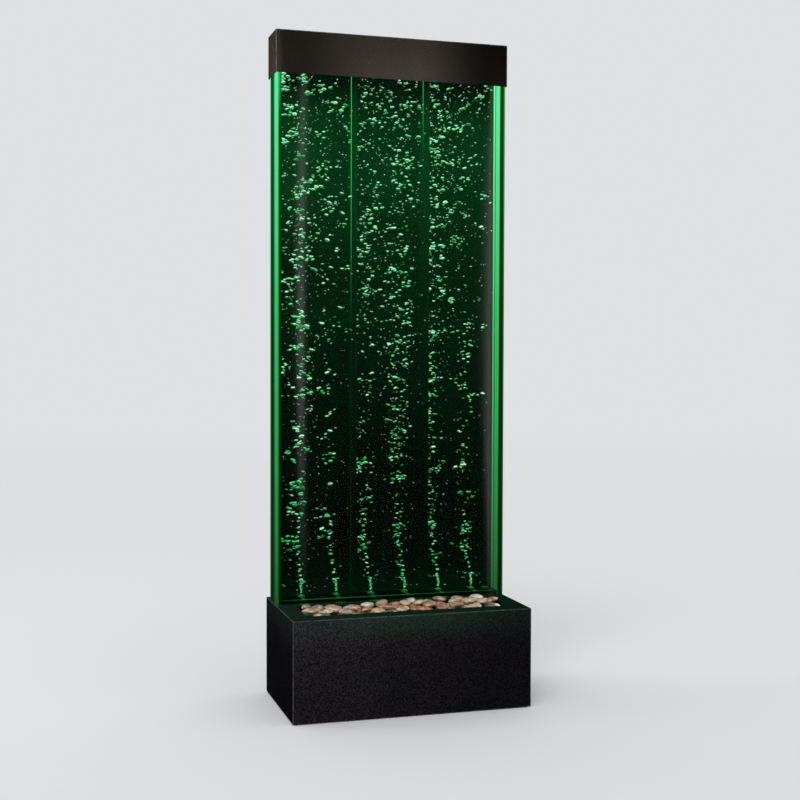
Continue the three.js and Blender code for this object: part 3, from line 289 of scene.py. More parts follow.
def tank_glow_on_base(place):
    """The tank's green light on the deck, fading out over the top of the front and the sides."""
    x, y, z = parts_of(place)
    on_deck = z.rise(DECK_TOP - 0.0015, DECK_TOP - 0.0005) * (0.35 + y.rise(-0.18, 0.03) * 0.65)
    along = x.rise(-BASE_SIDE, -0.05, 0.45, 0.9) * x.rise(0.08, BASE_SIDE, 1, 0.4)
    down = z.rise(0.19, DECK_TOP - 0.003) * along
    near = (on_deck + down) * y.rise(0.04, 0.17, 1, 0.45)
    return near.blend((0, 0, 0), (0.0008, 0.0125, 0.0045))


def painted_base_light(place):
    """Painted light and shade: lightest at the front's left and upper fold; shaded sides and
    deck.
    """
    x, _, z = parts_of(place)
    sides = abs(x).rise(BASE_SIDE - 0.0006, BASE_SIDE - 0.0002, 1.0, 0.36)
    deck = z.rise(DECK_TOP - 0.0015, DECK_TOP - 0.0005, 1.0, 0.4)
    front = x.rise(-0.34, 0.34, 1.25, 0.48) * z.rise(0.13, DECK_TOP - 0.0015, 1.0, 1.6)
    return front * sides * deck


base_coat = powder_coat(
    "base_powder_coat", (0.0013, 0.0013, 0.0025), (0.0675, 0.060, 0.0675), 0.0,
    (BASE_SIDE, BASE_BACK, 0.0, DECK_TOP), 0.25, painted_base_light, tank_glow_on_base)
inner_coat = powder_coat("inner_powder_coat", (0.005, 0.005, 0.005), (0.055, 0.055, 0.058), 0.08)
dress(base_coat, "base_housing")
dress(inner_coat, "base_plate", "pebble_tray", "rail_front", "rail_back")


# Feet: four round pads of moulded black rubber, glued under the base plate. The rubber is matt,
# with fine pores and a slight pale bloom.
def rubber(name, dark, light, roughness):
    """Matt black rubber with a pale bloom and fine pores."""
    finish, place = new_finish(name)
    bloom = grain(place, 90, 4.0)
    pores = grain(place, 1400, 2.0)
    close_finish(
        place,
        Base_Color=bloom.rise(0.35, 0.75).blend(dark, light),
        Roughness=roughness + bloom * 0.1,
        Normal=bumped(pores, 0.0003, 0.4),
        Specular_IOR_Level=0.3,
    )
    return finish


dress(rubber("foot_rubber", (0.008, 0.008, 0.008), (0.026, 0.025, 0.024), 0.75),
      "foot_1", "foot_2", "foot_3", "foot_4")


# Pebbles: polished river stones, 38 to 58 mm long, poured loose into the tray under the deck.
# Each is flattened and a little lopsided, and rests on the pan or on the stones below it.
STONE_COLOURS = (
    (0.78, 0.57, 0.39),
    (0.62, 0.45, 0.31),
    (0.76, 0.66, 0.54),
    (0.52, 0.31, 0.18),
    (0.48, 0.20, 0.08),
    (0.56, 0.38, 0.26),
    (0.07, 0.062, 0.066),
    (0.28, 0.245, 0.26),
    (0.22, 0.11, 0.06),
    (0.44, 0.38, 0.35),
)
STONE_SHARES = (8, 5, 6, 5, 3, 3, 1, 2, 2, 2)
pour = random.Random(23)


def raw_stone(index):
    """A unit stone: a ball pushed out of round by two sizes of soft lumps, which depend on where
    it is made."""
    bpy.ops.object.select_all(action="DESELECT")
    bpy.ops.mesh.primitive_ico_sphere_add(subdivisions=4, radius=1, location=(7 * index, 3, 9))
    stone = bpy.context.object
    for size, depth in ((1.6, 0.55), (0.7, 0.10)):
        lumps = bpy.data.textures.new("stone_lumps", "CLOUDS")
        lumps.noise_scale = size
        swell = stone.modifiers.new("lumps", "DISPLACE")
        swell.texture = lumps
        swell.texture_coords = "GLOBAL"
        swell.strength = depth
        bpy.ops.object.modifier_apply(modifier=swell.name)
    bpy.ops.object.transform_apply(location=True)
    bpy.ops.object.origin_set(type="ORIGIN_GEOMETRY", center="BOUNDS")
    stone.location = (0, 0, 0)
    half = [side / 2 for side in stone.dimensions]
    bpy.ops.object.mode_set(mode="EDIT")
    bpy.ops.mesh.select_all(action="SELECT")
    bpy.ops.transform.resize(value=[1 / h for h in half])
    bpy.ops.object.mode_set(mode="OBJECT")
    bpy.ops.object.shade_smooth()
    return stone


raw_stones = [raw_stone(i) for i in range(6)]
raw_points = [np.array([v.co for v in stone.data.vertices]) for stone in raw_stones]

PAN_CELL = 0.0025
PAN_LOW = np.array((-0.2785, -0.1225))
PAN_HIGH = np.array((0.2785, 0.0135))
PAN_FLOOR = 0.2473
HEAP_TOP = 0.2845
STONE_TRIES = 230
PLACE_TRIES = 14
# How high the heap stands in each cell of the pan.
heap = np.full(((PAN_HIGH - PAN_LOW) / PAN_CELL).astype(int) + 1, PAN_FLOOR)


def tried_place(unit_points, sizes):
    """A stone turned at random and let down on the heap: its top, its lift and its centre, how it
    is turned, and the cells and heights of its points."""
    turn = (pour.uniform(-0.16, 0.16), pour.uniform(-0.13, 0.13), pour.uniform(0, 6.28))
    turned = np.array(Euler(turn).to_matrix() @ Matrix.Diagonal([size / 2 for size in sizes]))
    points = unit_points @ turned.T
    reach = np.abs(points[:, :2]).max(0)
    centre = [pour.uniform(a, b) for a, b in zip(PAN_LOW + reach, PAN_HIGH - reach)]
    cells = tuple(((points[:, :2] + centre - PAN_LOW) / PAN_CELL).astype(int).T)
    heights = points[:, 2]
    lift = (heap[cells] - heights).max()
    return lift + heights.max(), lift, centre, turned, cells, heights


poured = []
for _ in range(STONE_TRIES):
    which = pour.randrange(len(raw_stones))
    length = pour.uniform(0.038, 0.058)
    breadth = length * pour.uniform(0.62, 0.82)
    thick = min(breadth * pour.uniform(0.42, 0.6), 0.019)
    tries = [tried_place(raw_points[which], (length, breadth, thick)) for _ in range(PLACE_TRIES)]
    top, lift, centre, turned, cells, heights = min(tries, key=lambda tried: tried[0])
    if top <= HEAP_TOP:
        np.maximum.at(heap, cells, heights + lift)
        poured.append((which, Matrix.Translation((*centre, lift)) @ Matrix(turned).to_4x4()))

stones = []
for which, where in poured:
    copy = raw_stones[which].copy()
    copy.data = raw_stones[which].data.copy()
    bpy.context.collection.objects.link(copy)
    copy.data.transform(where)
    colour = pour.choices(STONE_COLOURS, STONE_SHARES)[0]
    shade = pour.uniform(1.1, 1.5)
    paint = copy.data.attributes.new("stone_colour", "FLOAT_COLOR", "POINT")
    shaded = [min(c * shade, 0.92) for c in colour]
    paint.data.foreach_set("color", [*shaded, 1] * len(copy.data.vertices))
    veins = copy.data.attributes.new("stone_veins", "FLOAT", "POINT")
    veins.data.foreach_set("value", [pour.choice((0, 0.2, 0.5, 1))] * len(copy.data.vertices))
    stones.append(copy)
bpy.ops.object.select_all(action="DESELECT")
for stone in stones:
    stone.select_set(True)
bpy.context.view_layer.objects.active = stones[0]
bpy.ops.object.join()
river_pebbles = bpy.context.object
river_pebbles.name = "river_pebbles"
for stone in raw_stones:
    bpy.data.objects.remove(stone)

stone_finish, place = new_finish("polished_stone")
colour = place.node("ShaderNodeAttribute", {"attribute_name": "stone_colour"})
veining = place.node("ShaderNodeAttribute", {"attribute_name": "stone_veins"}, {}, "Fac")
clouds = grain(place, 55, 4.0)
waves = {"Vector": place, "Scale": 26, "Distortion": 9, "Detail": 3, "Detail Scale": 2}
bands = place.node("ShaderNodeTexWave", {"bands_direction": "DIAGONAL"}, waves, 1)
specks = grain(place, 900, 2.0)
darker = colour.node("ShaderNodeMix", {"data_type": "RGBA", "blend_type": "MULTIPLY"},
                     {0: 1.0, 6: colour, 7: (0.50, 0.42, 0.36, 1)}, 2)
paler = colour.node("ShaderNodeMix", {"data_type": "RGBA", "blend_type": "SCREEN"},
                    {0: 0.35, 6: colour, 7: (0.75, 0.66, 0.55, 1)}, 2)
mottled = clouds.rise(0.38, 0.66).blend(darker, paler)
mottled = (0.45 * (1 - veining)).blend(mottled, colour)
veined = (bands.rise(0.55, 0.9) * veining * 0.8).blend(mottled, darker)
close_finish(
    place,
    Base_Color=(specks.rise(0.6, 0.72) * 0.35).blend(veined, (0.12, 0.10, 0.09)),
    Roughness=0.3 + clouds * 0.16,
    Normal=bumped(specks * 0.3 + clouds, 0.0006, 0.3),
    Coat_Weight=0.8,
    Coat_Roughness=0.1,
)
river_pebbles.data.materials.append(stone_finish)
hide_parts("pebbles")
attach(river_pebbles, "wall")


# Tank: 10 mm clear acrylic panes bonded to bars at the sides, with a black acrylic back. The
# light from the base runs up inside and leaves at the polished edges and the bonded joints.
HEADER_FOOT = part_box("header")[0].z
TANK_MIDDLE = 0.083


def screen(red, green, blue):
    """A colour as a screen shows it, from 0 to 255, as light."""
    values = [c / 255 for c in (red, green, blue)]
    return tuple(c / 12.92 if c < 0.04045 else ((c + 0.055) / 1.055) ** 2.4 for c in values)


def tank_height(z):
    """0 at the deck and 1 at the header's lower edge."""
    return (z - DECK_TOP) / (HEADER_FOOT - DECK_TOP)


def screen_ramp(value, *stops):
    """The colour at a value, between stops that each give a value and a colour for screen."""
    return value.ramp(*((stop, screen(*tone)) for stop, *tone in stops))


def from_stalk(x):
    """How far a place is from the nearest bubble stalk. They stand 0.1 m apart."""
    return x.maths("PINGPONG", x + 0.05, 0.05)


def edge_light(z):
    """Light that leaves a polished edge: it gathers upwards, towards the far end of the tank."""
    return screen_ramp(
        tank_height(z),
        (0.0, 20, 84, 38),
        (0.09, 21, 116, 47),
        (0.20, 22, 138, 58),
        (0.58, 40, 190, 92),
        (1.0, 84, 238, 148),
    )


def joint_light(z):
    """The fainter light of a bonded joint or a chamfer."""
    return screen_ramp(tank_height(z), (0.0, 30, 66, 40), (0.5, 44, 96, 62), (1.0, 66, 150, 90))


def painted_deep_glow(z):
    """Painted dim glow of acrylic seen through its whole width, nearly black."""
    return screen_ramp(tank_height(z), (0.0, 3, 26, 8), (0.5, 2, 34, 9), (1.0, 0, 62, 17))


def painted_water_glow(z):
    """Painted glow of lit water in front of the black back, with painted shade under the header.
    """
    return screen_ramp(
        tank_height(z),
        (0.0, 3, 22, 8),
        (0.05, 1, 8, 2),
        (0.18, 0, 5, 1),
        (0.33, 1, 12, 3),
        (0.48, 2, 23, 7),
        (0.64, 3, 33, 10),
        (0.71, 5, 43, 15),
        (0.86, 7, 57, 22),
        (0.93, 7, 54, 20),
        (0.955, 6, 46, 17),
        (0.985, 5, 31, 12),
        (1.0, 4, 21, 9),
    )


def close_acrylic(place, light, cover, polish=0.0, film=None):
    """Polished acrylic: opaque where cover is 1 and clear where it is near 0. Polish is 1 on the
    faces that meet air, and 0 on those that meet water, which hardly reflect."""
    smears = grain(place, 6, 3.0, 0.6, (1, 1, 0.35))
    close_finish(
        place,
        Base_Color=smears.blend((0.0002, 0.0015, 0.0007), (0.0005, 0.003, 0.0015)),
        Roughness=0.3 + smears * 0.1,
        Specular_IOR_Level=0.0,
        Coat_Weight=polish,
        Coat_Roughness=0.045,
        Emission_Color=light,
        Emission_Strength=1.0,
        Alpha=cover,
        film=film,
    )


# The tank's acrylic below is given painted glow and shade as emission.
front_finish, place = new_finish("front_pane_acrylic")
x, y, z = parts_of(place)
# Painted glow across x: the left chamfer, the joint behind it, then the pane's right end, which
# is seen through its whole width and painted nearly black, and the right chamfer. The foot is
# painted brightest beside the stalks.
left_edge = x.rise(-0.3245, -0.3235, 1, 0)
left_joint = x.between(-0.3232, -0.3180, 0.0005)
right_end = x.rise(0.3158, 0.3166)
right_edge = x.rise(0.3230, 0.3238)
foot = z.rise(0.2722, 0.2736, 1, 0) * from_stalk(x).rise(0.004, 0.022, 0.9, 0.3)
foot = foot * grain(place, 30, 3.0, 0.6).rise(0.35, 0.6, 0.4, 1)
glow = foot.blend((0, 0, 0), screen(20, 124, 58))
lit_joint = left_joint * tank_height(z).rise(0.86, 1.0, 0.0, 0.5)
glow = lit_joint.blend(glow, edge_light(z))
glow = right_end.blend(glow, painted_deep_glow(z))
glow = right_edge.blend(glow, joint_light(z))
glow = left_edge.blend(glow, edge_light(z))
outside = y.rise(0.0334, 0.0336, 1, 0)
ends = left_edge + right_end
covered = ends + lit_joint + foot * 0.8
fresnel = place.node("ShaderNodeFresnel", {}, {"IOR": 1.49})
drawn_gloss = place.node("ShaderNodeBsdfAnisotropic", {"distribution": "BECKMANN"},
                        {"Roughness": 0.13, "Anisotropy": 0.83})
film = (outside * (1 - ends) * fresnel * 0.05, drawn_gloss)
close_acrylic(place, glow, covered.maths("MINIMUM", covered, 1.0), 0.0, film)
dress(front_finish, "front_pane")

bar_finish, place = new_finish("side_bar_acrylic")
x, y, z = parts_of(place)
# Across y: the lit front of a bar, with a dimmer strip in the right one, brighter lines of light
# that is led up inside, and a faint line at the back of the left one.
on_right = x.rise(-0.1, 0.1)
front_part = y.between(0.0440, 0.0740, 0.0006) + y.between(0.0740, 0.0880, 0.0006) * on_right
front_part = front_part * (1 - y.between(0.0690, 0.0750, 0.0008) * on_right * 0.7)
front_part = front_part + y.rise(0.0434, 0.0438, 1, 0) * on_right
lines = y.between(0.0480, 0.0500, 0.0010) + y.between(0.0620, 0.0650, 0.0010)
lines = lines + y.between(0.0825, 0.0880, 0.0010) * on_right * 1.6
back_line = y.between(0.0840, 0.0975, 0.0010) * (1 - on_right) * 0.3
glow = back_line.blend(painted_deep_glow(z), joint_light(z))
glow = front_part.blend(glow, edge_light(z))
bright = screen_ramp(tank_height(z), (0, 30, 90, 50), (1, 150, 255, 196))
outer_face = abs(x).rise(0.3265, 0.3268, 0, 0.015)
close_acrylic(place, (lines * 0.45).blend(glow, bright), 1.0, outer_face)
dress(bar_finish, "side_bar_left", "side_bar_right")

back_finish, place = new_finish("back_pane_acrylic")
x, y, z = parts_of(place)
# The back pane's inner face carries the water's painted glow and shade; its ends a painted edge
# glow.
clouds = grain(place, 3.2, 3.0, 0.55)
water_light = clouds.rise(0.3, 0.7, 0.65, 1.0).blend((0, 0, 0), painted_water_glow(z))
inside = y.rise(0.1240, 0.1245, 1, 0)
glow = inside.blend(screen(1, 6, 3), water_light)
outer_edge = abs(x).rise(0.3270, 0.3275)
close_acrylic(place, outer_edge.blend(glow, edge_light(z)), 1.0, y.rise(0.1322, 0.1326))
dress(back_finish, "back_pane")

divider_finish, place = new_finish("divider_acrylic")
x, y, z = parts_of(place)
height = tank_height(z)
# Painted glow lines on the left faces of the dividers, over the water's painted glow.
left_line = x.rise(-0.1050, -0.1045, 1, 0) * height.rise(0.50, 0.93, 0.03, 0.80)
right_line = x.between(0.1, 0.1040, 0.0005) * height.rise(0.85, 1.0, 0.0, 0.5)
lines = y.between(0.0875, 0.0955, 0.0005) * (left_line + right_line)
close_acrylic(place, lines.blend(painted_water_glow(z), screen(52, 205, 104)), 1.0)
dress(divider_finish, "divider_left", "divider_right")

floor_finish, place = new_finish("tank_floor_acrylic")
x, y, z = parts_of(place)
# Painted glow along the floor's rims and beside the stalks.
under_light = grain(place, 22, 2.0, 0.5, (0.5, 1, 1))
stalk_light = from_stalk(x).rise(0.002, 0.007, 1, 0) * y.rise(0.045, 0.075, 0.8, 0.3)
along = x.rise(-0.31, -0.24, 0.3, 1) * x.rise(-0.02, 0.2, 1, 0.45)
front_rim = y.rise(0.0440, 0.0480, 1, 0) * along
rims = front_rim * 0.8 + y.rise(0.1205, 0.1225) * 0.12 + stalk_light * 0.7
rims = (rims + under_light.rise(0.4, 0.7) * 0.03) * z.rise(0.2822, 0.2830)
close_acrylic(place, rims.blend((0.0, 0.001, 0.0005), screen(22, 132, 62)), 1.0)
dress(floor_finish, "tank_floor")


# Water and bubbles: filtered water fills the three chambers. Each nozzle sends up a thin stalk of
# air that breaks into flattened bubbles, here called caps, and fine beads. They spread as they
# rise, and drift in clumps.
water_finish, place = new_finish("tank_water")
ripples = grain(place, 30, 2.0)
# The water shows by its surface. Its green depth is painted as glow and shade on the pane behind
# it.
surface_cover = parts_of(place)[2].rise(1.7335, 1.7345, 0.0, 0.35)
close_finish(
    place,
    Base_Color=ripples.blend((0.0, 0.012, 0.005), (0.0, 0.03, 0.014)),
    Roughness=0.02 + ripples * 0.03,
    Normal=bumped(ripples, 0.002, 0.2),
    Specular_IOR_Level=0.3,
    Alpha=surface_cover,
)
dress(water_finish, "water")


def unit_bubble(sides, rings):
    """The points, faces and painted shine of a ball of air: a highlight painted round its
    shoulder and painted dark in its middle. It leans about a point a little under its middle."""
    bpy.ops.object.select_all(action="DESELECT")
    bpy.ops.mesh.primitive_uv_sphere_add(segments=sides, ring_count=rings, radius=1)
    ball = bpy.context.object
    points = np.array([v.co for v in ball.data.vertices]) + (0, 0, 0.42)
    ball.data.calc_loop_triangles()
    faces = np.array([t.vertices for t in ball.data.loop_triangles])
    upward = [v.normal.z for v in ball.data.vertices]
    shines = (0.45, 0.25, 0.38, 1.05, 1.3, 0.35)
    shine = np.interp(upward, (-1, -0.4, 0.0, 0.28, 0.62, 1), shines)
    bpy.data.objects.remove(ball)
    return points, faces, shine


CAP = unit_bubble(8, 5)
BEAD = unit_bubble(5, 3)
NOZZLE_X = [sum(c[0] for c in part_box(f"air_nozzle_{i + 1}")) / 2 for i in range(6)]
NOZZLE_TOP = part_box("air_nozzle_1")[1].z
WATER_TOP = 1.73
CLIMB = WATER_TOP - NOZZLE_TOP
WATER_FRONT = 0.046
WATER_BACK = 0.119
STALK_TOP = 0.020
STALK_CAPS = 26
LOOSE_CAPS = 14
LARGEST_HALF = 0.0072
CHAMBERS = {
    "bubbles_left": ((-0.311, -0.109), (0, 1)),
    "bubbles_middle": ((-0.101, 0.101), (2, 3)),
    "bubbles_right": ((0.109, 0.311), (4, 5)),
}
# How many caps each plume has, and how dense it is at four heights from its foot to its top.
CAP_COUNTS = (470, 170, 290, 430, 410, 230)
FOOT_TO_TOP_SHARES = (
    (0.10, 0.125, 0.20, 0.215),
    (0.03, 0.04, 0.08, 0.11),
    (0.05, 0.06, 0.10, 0.13),
    (0.07, 0.11, 0.15, 0.18),
    (0.05, 0.09, 0.16, 0.22),
    (0.05, 0.045, 0.07, 0.12),
)
air = random.Random(380)


def along_plume(column):
    """A height from 0 to 1, chosen more often where that plume is dense."""
    shares = FOOT_TO_TOP_SHARES[column]
    while True:
        height = air.random()
        if air.random() * max(shares) < np.interp(height, (0.05, 0.35, 0.7, 1), shares):
            return height


def plume_middle(column, height):
    """Where a plume's middle is at a height, as it leans and wanders."""
    lean = (0, -0.012, -0.002, 0, -0.003) if column == 0 else (0, -0.021, -0.024, -0.015, -0.006)
    wander = 0.008 * height * math.sin(9 * height + 2.1 * column)
    return NOZZLE_X[column] + np.interp(height, (0, 0.1, 0.25, 0.55, 1), lean) + wander


def plume_spread(column, height):
    """How far a plume's air strays to each side of its middle."""
    return 0.013 + 0.020 * height if column == 0 else 0.006 + 0.026 * height ** 0.9


def lit_share(height):
    """Air higher in the tank catches more of the light."""
    return np.interp(height, (0, 0.1, 0.4, 0.75, 1), (0.6, 0.58, 0.86, 1.1, 1.15))


def bubble(walls, x, y, height, half, tall, shine, pale=0.0):
    """One bubble's x, y, z, half width, half height, lean, shine and paleness. It is turned back
    from its chamber's walls and kept clear of the acrylic all round."""
    low, high = walls
    if x < low:
        x = low + (low - x)
    elif x > high:
        x = high - (x - high)
    x = min(max(x, low + half * 1.2), high - half * 1.2)
    y = min(max(y, WATER_FRONT + half), WATER_BACK - half)
    z = NOZZLE_TOP + 0.002 + half + height * (CLIMB - 0.004 - 2 * half)
    lean = air.gauss(0, 0.22)
    return x, y, z, half, half * tall, lean, shine * lit_share(height), pale


def plume_caps(column, walls):
    """The larger air of a plume: caps alone, caps in loose company, and clumps at a slope."""
    caps = []
    while len(caps) < CAP_COUNTS[column]:
        height = along_plume(column)
        x = air.gauss(plume_middle(column, height), plume_spread(column, height))
        y = air.gauss(0.080, 0.010 + 0.006 * height)
        alone = height < 0.05 or air.random() < (0.5 if column else 0.35)
        members = 1 if alone else air.randint(2, 5 if column else 9)
        clump = members > 2 and air.random() < (0.3 if column else 0.75)
        slope = air.gauss(0.4, 0.4)
        step = 0.0045 if clump else air.uniform(0.007, 0.013)
        scatter = 0.0042 if clump else air.uniform(0.002, 0.008)
        shine = air.uniform(0.5, 1.15)
        middle_size = 0.0041 if clump or column < 2 else 0.0035
        middle_size += 0.0006 if clump and column == 0 else 0
        for member in range(members):
            along = (member - members / 2) * step
            half = min(air.lognormvariate(math.log(middle_size), 0.34), LARGEST_HALF)
            rise = (along * math.sin(slope) + air.gauss(0, scatter)) / CLIMB
            caps.append(bubble(
                walls, x + along * math.cos(slope) + air.gauss(0, scatter),
                y + air.gauss(0, 0.006), min(max(height + rise, STALK_TOP), 1), half,
                air.uniform(0.36, 0.62), shine * air.uniform(0.7, 1.35)))
    return caps


def stalk_caps(column, walls):
    """The thin stalk of air over a nozzle, and the loose caps that it breaks into."""
    caps = []
    for step in range(STALK_CAPS):
        height = STALK_TOP * (step / STALK_CAPS) ** 1.1
        middle = NOZZLE_X[column] - 0.02 * (height / 0.1) ** 1.4
        caps.append(bubble(
            walls, middle + air.gauss(0, 0.0009 + 0.06 * height),
            TANK_MIDDLE + air.gauss(0, 0.0012), height, air.uniform(0.0013, 0.0030),
            air.uniform(0.6, 1.0), air.uniform(0.4, 1.4)))
    for step in range(LOOSE_CAPS):
        height = STALK_TOP + 0.0095 * step + air.uniform(0, 0.007)
        for side in (-1, 1) if air.random() < 0.2 else (0,):
            middle = plume_middle(column, height) + side * 0.0036
            caps.append(bubble(
                walls, air.gauss(middle, 0.003), air.gauss(0.082, 0.004),
                height + side * 0.0008, air.uniform(0.0030, 0.0048),
                air.uniform(0.45, 0.75), air.uniform(0.7, 1.3)))
    return caps


def plume_beads(column, walls):
    """The fine air round a plume. A pale bead is too small and too far from the light to look
    green."""
    beads = []
    for _ in range(int(60 + CAP_COUNTS[column] * 0.9)):
        height = along_plume(column)
        wide = 0.010 + 1.6 * plume_spread(column, height)
        beads.append(bubble(
            walls, air.gauss(plume_middle(column, height), wide), air.uniform(0.05, 0.115),
            height, air.uniform(0.0010, 0.0023), air.uniform(0.6, 0.9), air.uniform(0.3, 1.2),
            air.uniform(0.3, 1.0) * (1 - 0.5 * height)))
    return beads


def spread_air(shape, rows):
    """One bubble shape repeated at every row, as points, faces, shine and paleness."""
    points, faces, shine = shape
    rows = np.array(rows)
    sizes = np.stack((rows[:, 3], rows[:, 3], rows[:, 4]), 1)
    local = points[None] * sizes[:, None]
    cosine, sine = np.cos(rows[:, 5])[:, None], np.sin(rows[:, 5])[:, None]
    turned = np.stack((local[..., 0] * cosine + local[..., 2] * sine, local[..., 1],
                       local[..., 2] * cosine - local[..., 0] * sine), 2)
    placed = turned + rows[:, None, :3]
    starts = np.arange(len(rows))[:, None, None] * len(points)
    return (placed.reshape(-1, 3), (faces[None] + starts).reshape(-1, 3),
            (shine[None] * rows[:, 6:7]).reshape(-1), np.repeat(rows[:, 7], len(points)))


# Bubbles are no lamps: their green glow and highlights are painted by their shine, grey for pale
# beads, and the shine paints their base colour too.
bubble_finish, place = new_finish("air_in_water")
shine = place.node("ShaderNodeAttribute", {"attribute_name": "shine"}, {}, "Fac")
wobble = grain(place, 420, 1.0)
gleam = shine * wobble.rise(0.3, 0.7, 0.7, 1.15)
pale = place.node("ShaderNodeAttribute", {"attribute_name": "paleness"}, {}, "Fac")
green = screen_ramp(
    gleam,
    (0.0, 2, 26, 10),
    (0.15, 9, 86, 36),
    (0.35, 26, 158, 70),
    (0.55, 92, 230, 140),
    (0.8, 196, 255, 220),
)
grey = screen_ramp(gleam, (0.0, 20, 30, 24), (0.3, 96, 116, 100), (0.9, 214, 230, 216))
close_finish(
    place,
    Base_Color=gleam.blend((0.0, 0.012, 0.005), (0.02, 0.10, 0.05)),
    Roughness=0.12 + wobble * 0.1,
    Specular_IOR_Level=0.0,
    Emission_Color=pale.blend(green, grey),
    Emission_Strength=1.0,
)
for name, (walls, columns) in CHAMBERS.items():
    caps, beads = [], []
    for column in columns:
        caps += plume_caps(column, walls) + stalk_caps(column, walls)
        beads += plume_beads(column, walls)
    cap_set, bead_set = spread_air(CAP, caps), spread_air(BEAD, beads)
    skin = bpy.data.meshes.new(name)
    corners = np.concatenate((cap_set[1], bead_set[1] + len(cap_set[0])))
    skin.from_pydata(np.concatenate((cap_set[0], bead_set[0])), [], corners)
    for glint, part in (("shine", 2), ("paleness", 3)):
        values = np.concatenate((cap_set[part], bead_set[part]))
        skin.attributes.new(glint, "FLOAT", "POINT").data.foreach_set("value", values)
    bubbles = bpy.data.objects.new(name, skin)
    bpy.context.collection.objects.link(bubbles)
    skin.shade_smooth()
    skin.materials.append(bubble_finish)
    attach(bubbles, "wall")


# Air nozzles and drain tap: the nozzles are moulded in black and pushed up through the tank's
# floor, and the tap behind the drain is turned brass with the marks of the tool still on it.
def turned_metal(name, dark, light, rough, ring_scale):
    """Metal with a little tarnish and the rings of a cutting tool."""
    finish, place = new_finish(name)
    tarnish = grain(place, 160, 4.0, 0.6)
    marks = place.node("ShaderNodeTexWave", {"bands_direction": "Z"},
                       {"Vector": place, "Scale": ring_scale, "Distortion": 0.6}, 1)
    close_finish(
        place,
        Base_Color=tarnish.rise(0.3, 0.75).blend(dark, light),
        Metallic=0.9,
        Roughness=rough + tarnish * 0.16,
        Normal=bumped(marks, 0.00008, 0.5),
    )
    return finish


brass_finish = turned_metal("turned_brass", (0.30, 0.20, 0.075), (0.56, 0.41, 0.17), 0.24, 900)
dress(brass_finish, "drain_tap")
nozzle_finish, place = new_finish("nozzle_moulding")
mist = grain(place, 500, 3.0)
# The moulding is painted with a faint green glow, brightest on the nozzles' tops.
painted_crown_glow = parts_of(place)[2].rise(0.2845, 0.2915) * mist.rise(0.35, 0.65, 0.6, 1.0)
close_finish(
    place,
    Base_Color=mist.blend((0.004, 0.010, 0.006), (0.012, 0.030, 0.018)),
    Roughness=0.4 + mist * 0.2,
    Normal=bumped(mist, 0.0002, 0.4),
    Specular_IOR_Level=0.1,
    Emission_Color=painted_crown_glow.blend(screen(2, 22, 9), screen(30, 160, 74)),
    Emission_Strength=1.0,
)
dress(nozzle_finish, "drain_fitting", *(f"air_nozzle_{i + 1}" for i in range(6)))


# Brackets: two of zinc-plated steel, screwed to the deck behind the tank to hold it upright. The
# rails that carry its weight stand on the base plate, under the deck.
zinc_finish = turned_metal("zinc_plate", (0.32, 0.33, 0.35), (0.60, 0.61, 0.62), 0.30, 300)
dress(zinc_finish, "rear_bracket_left", "rear_bracket_right")


# Light bars: extruded aluminium channels under the deck slot, each with green lamps behind an
# opal lens that fills the slot with even light.
LAMP_WAVES = 251.3
bar_metal, place = new_finish("extruded_aluminium")
draw_lines = grain(place, 700, 3.0, 0.6, (0.02, 1, 1))
close_finish(
    place,
    Base_Color=draw_lines.blend((0.46, 0.47, 0.48), (0.66, 0.67, 0.68)),
    Metallic=0.9,
    Roughness=0.30 + draw_lines * 0.15,
    Normal=bumped(draw_lines, 0.00006, 0.5),
)
dress(bar_metal, "light_bar_front", "light_bar_back")
lens_finish, place = new_finish("opal_lens")
x = parts_of(place)[0]
frost = grain(place, 800, 2.0)
lamps = x.maths("SINE", x * LAMP_WAVES).rise(-1, 1, 0.75, 1.0)
close_finish(
    place,
    Base_Color=frost.blend((0.70, 0.80, 0.73), (0.80, 0.88, 0.82)),
    Roughness=0.4 + frost * 0.15,
    Emission_Color=lamps.blend((0.0, 0.05, 0.02), (0.05, 0.75, 0.28)),
    Emission_Strength=1.0,
)
dress(lens_finish, "light_lens_front", "light_lens_back")


# Air works and control: a pump in a ribbed moulded case, its check valve and manifold, and the
# control box with its lid. All are moulded plastic with a fine spark-eroded texture.
def moulded(name, dark, light, rough):
    """Moulded plastic with fine texture and faint flow marks."""
    finish, place = new_finish(name)
    texture = grain(place, 1500, 2.0)
    flow = grain(place, 14, 2.0)
    close_finish(
        place,
        Base_Color=(texture * 0.4 + flow * 0.6).rise(0.35, 0.65).blend(dark, light),
        Roughness=rough + texture * 0.14,
        Normal=bumped(texture, 0.00015, 0.5),
        Specular_IOR_Level=0.4,
    )
    return finish


black_moulding = moulded("black_moulding", (0.008, 0.008, 0.009), (0.022, 0.022, 0.023), 0.42)
grey_moulding = moulded("grey_moulding", (0.20, 0.21, 0.22), (0.30, 0.31, 0.32), 0.40)
dress(black_moulding, "pump_cover", "control_box")
dress(grey_moulding, "pump_base", "control_box_lid", "air_manifold", "check_valve")


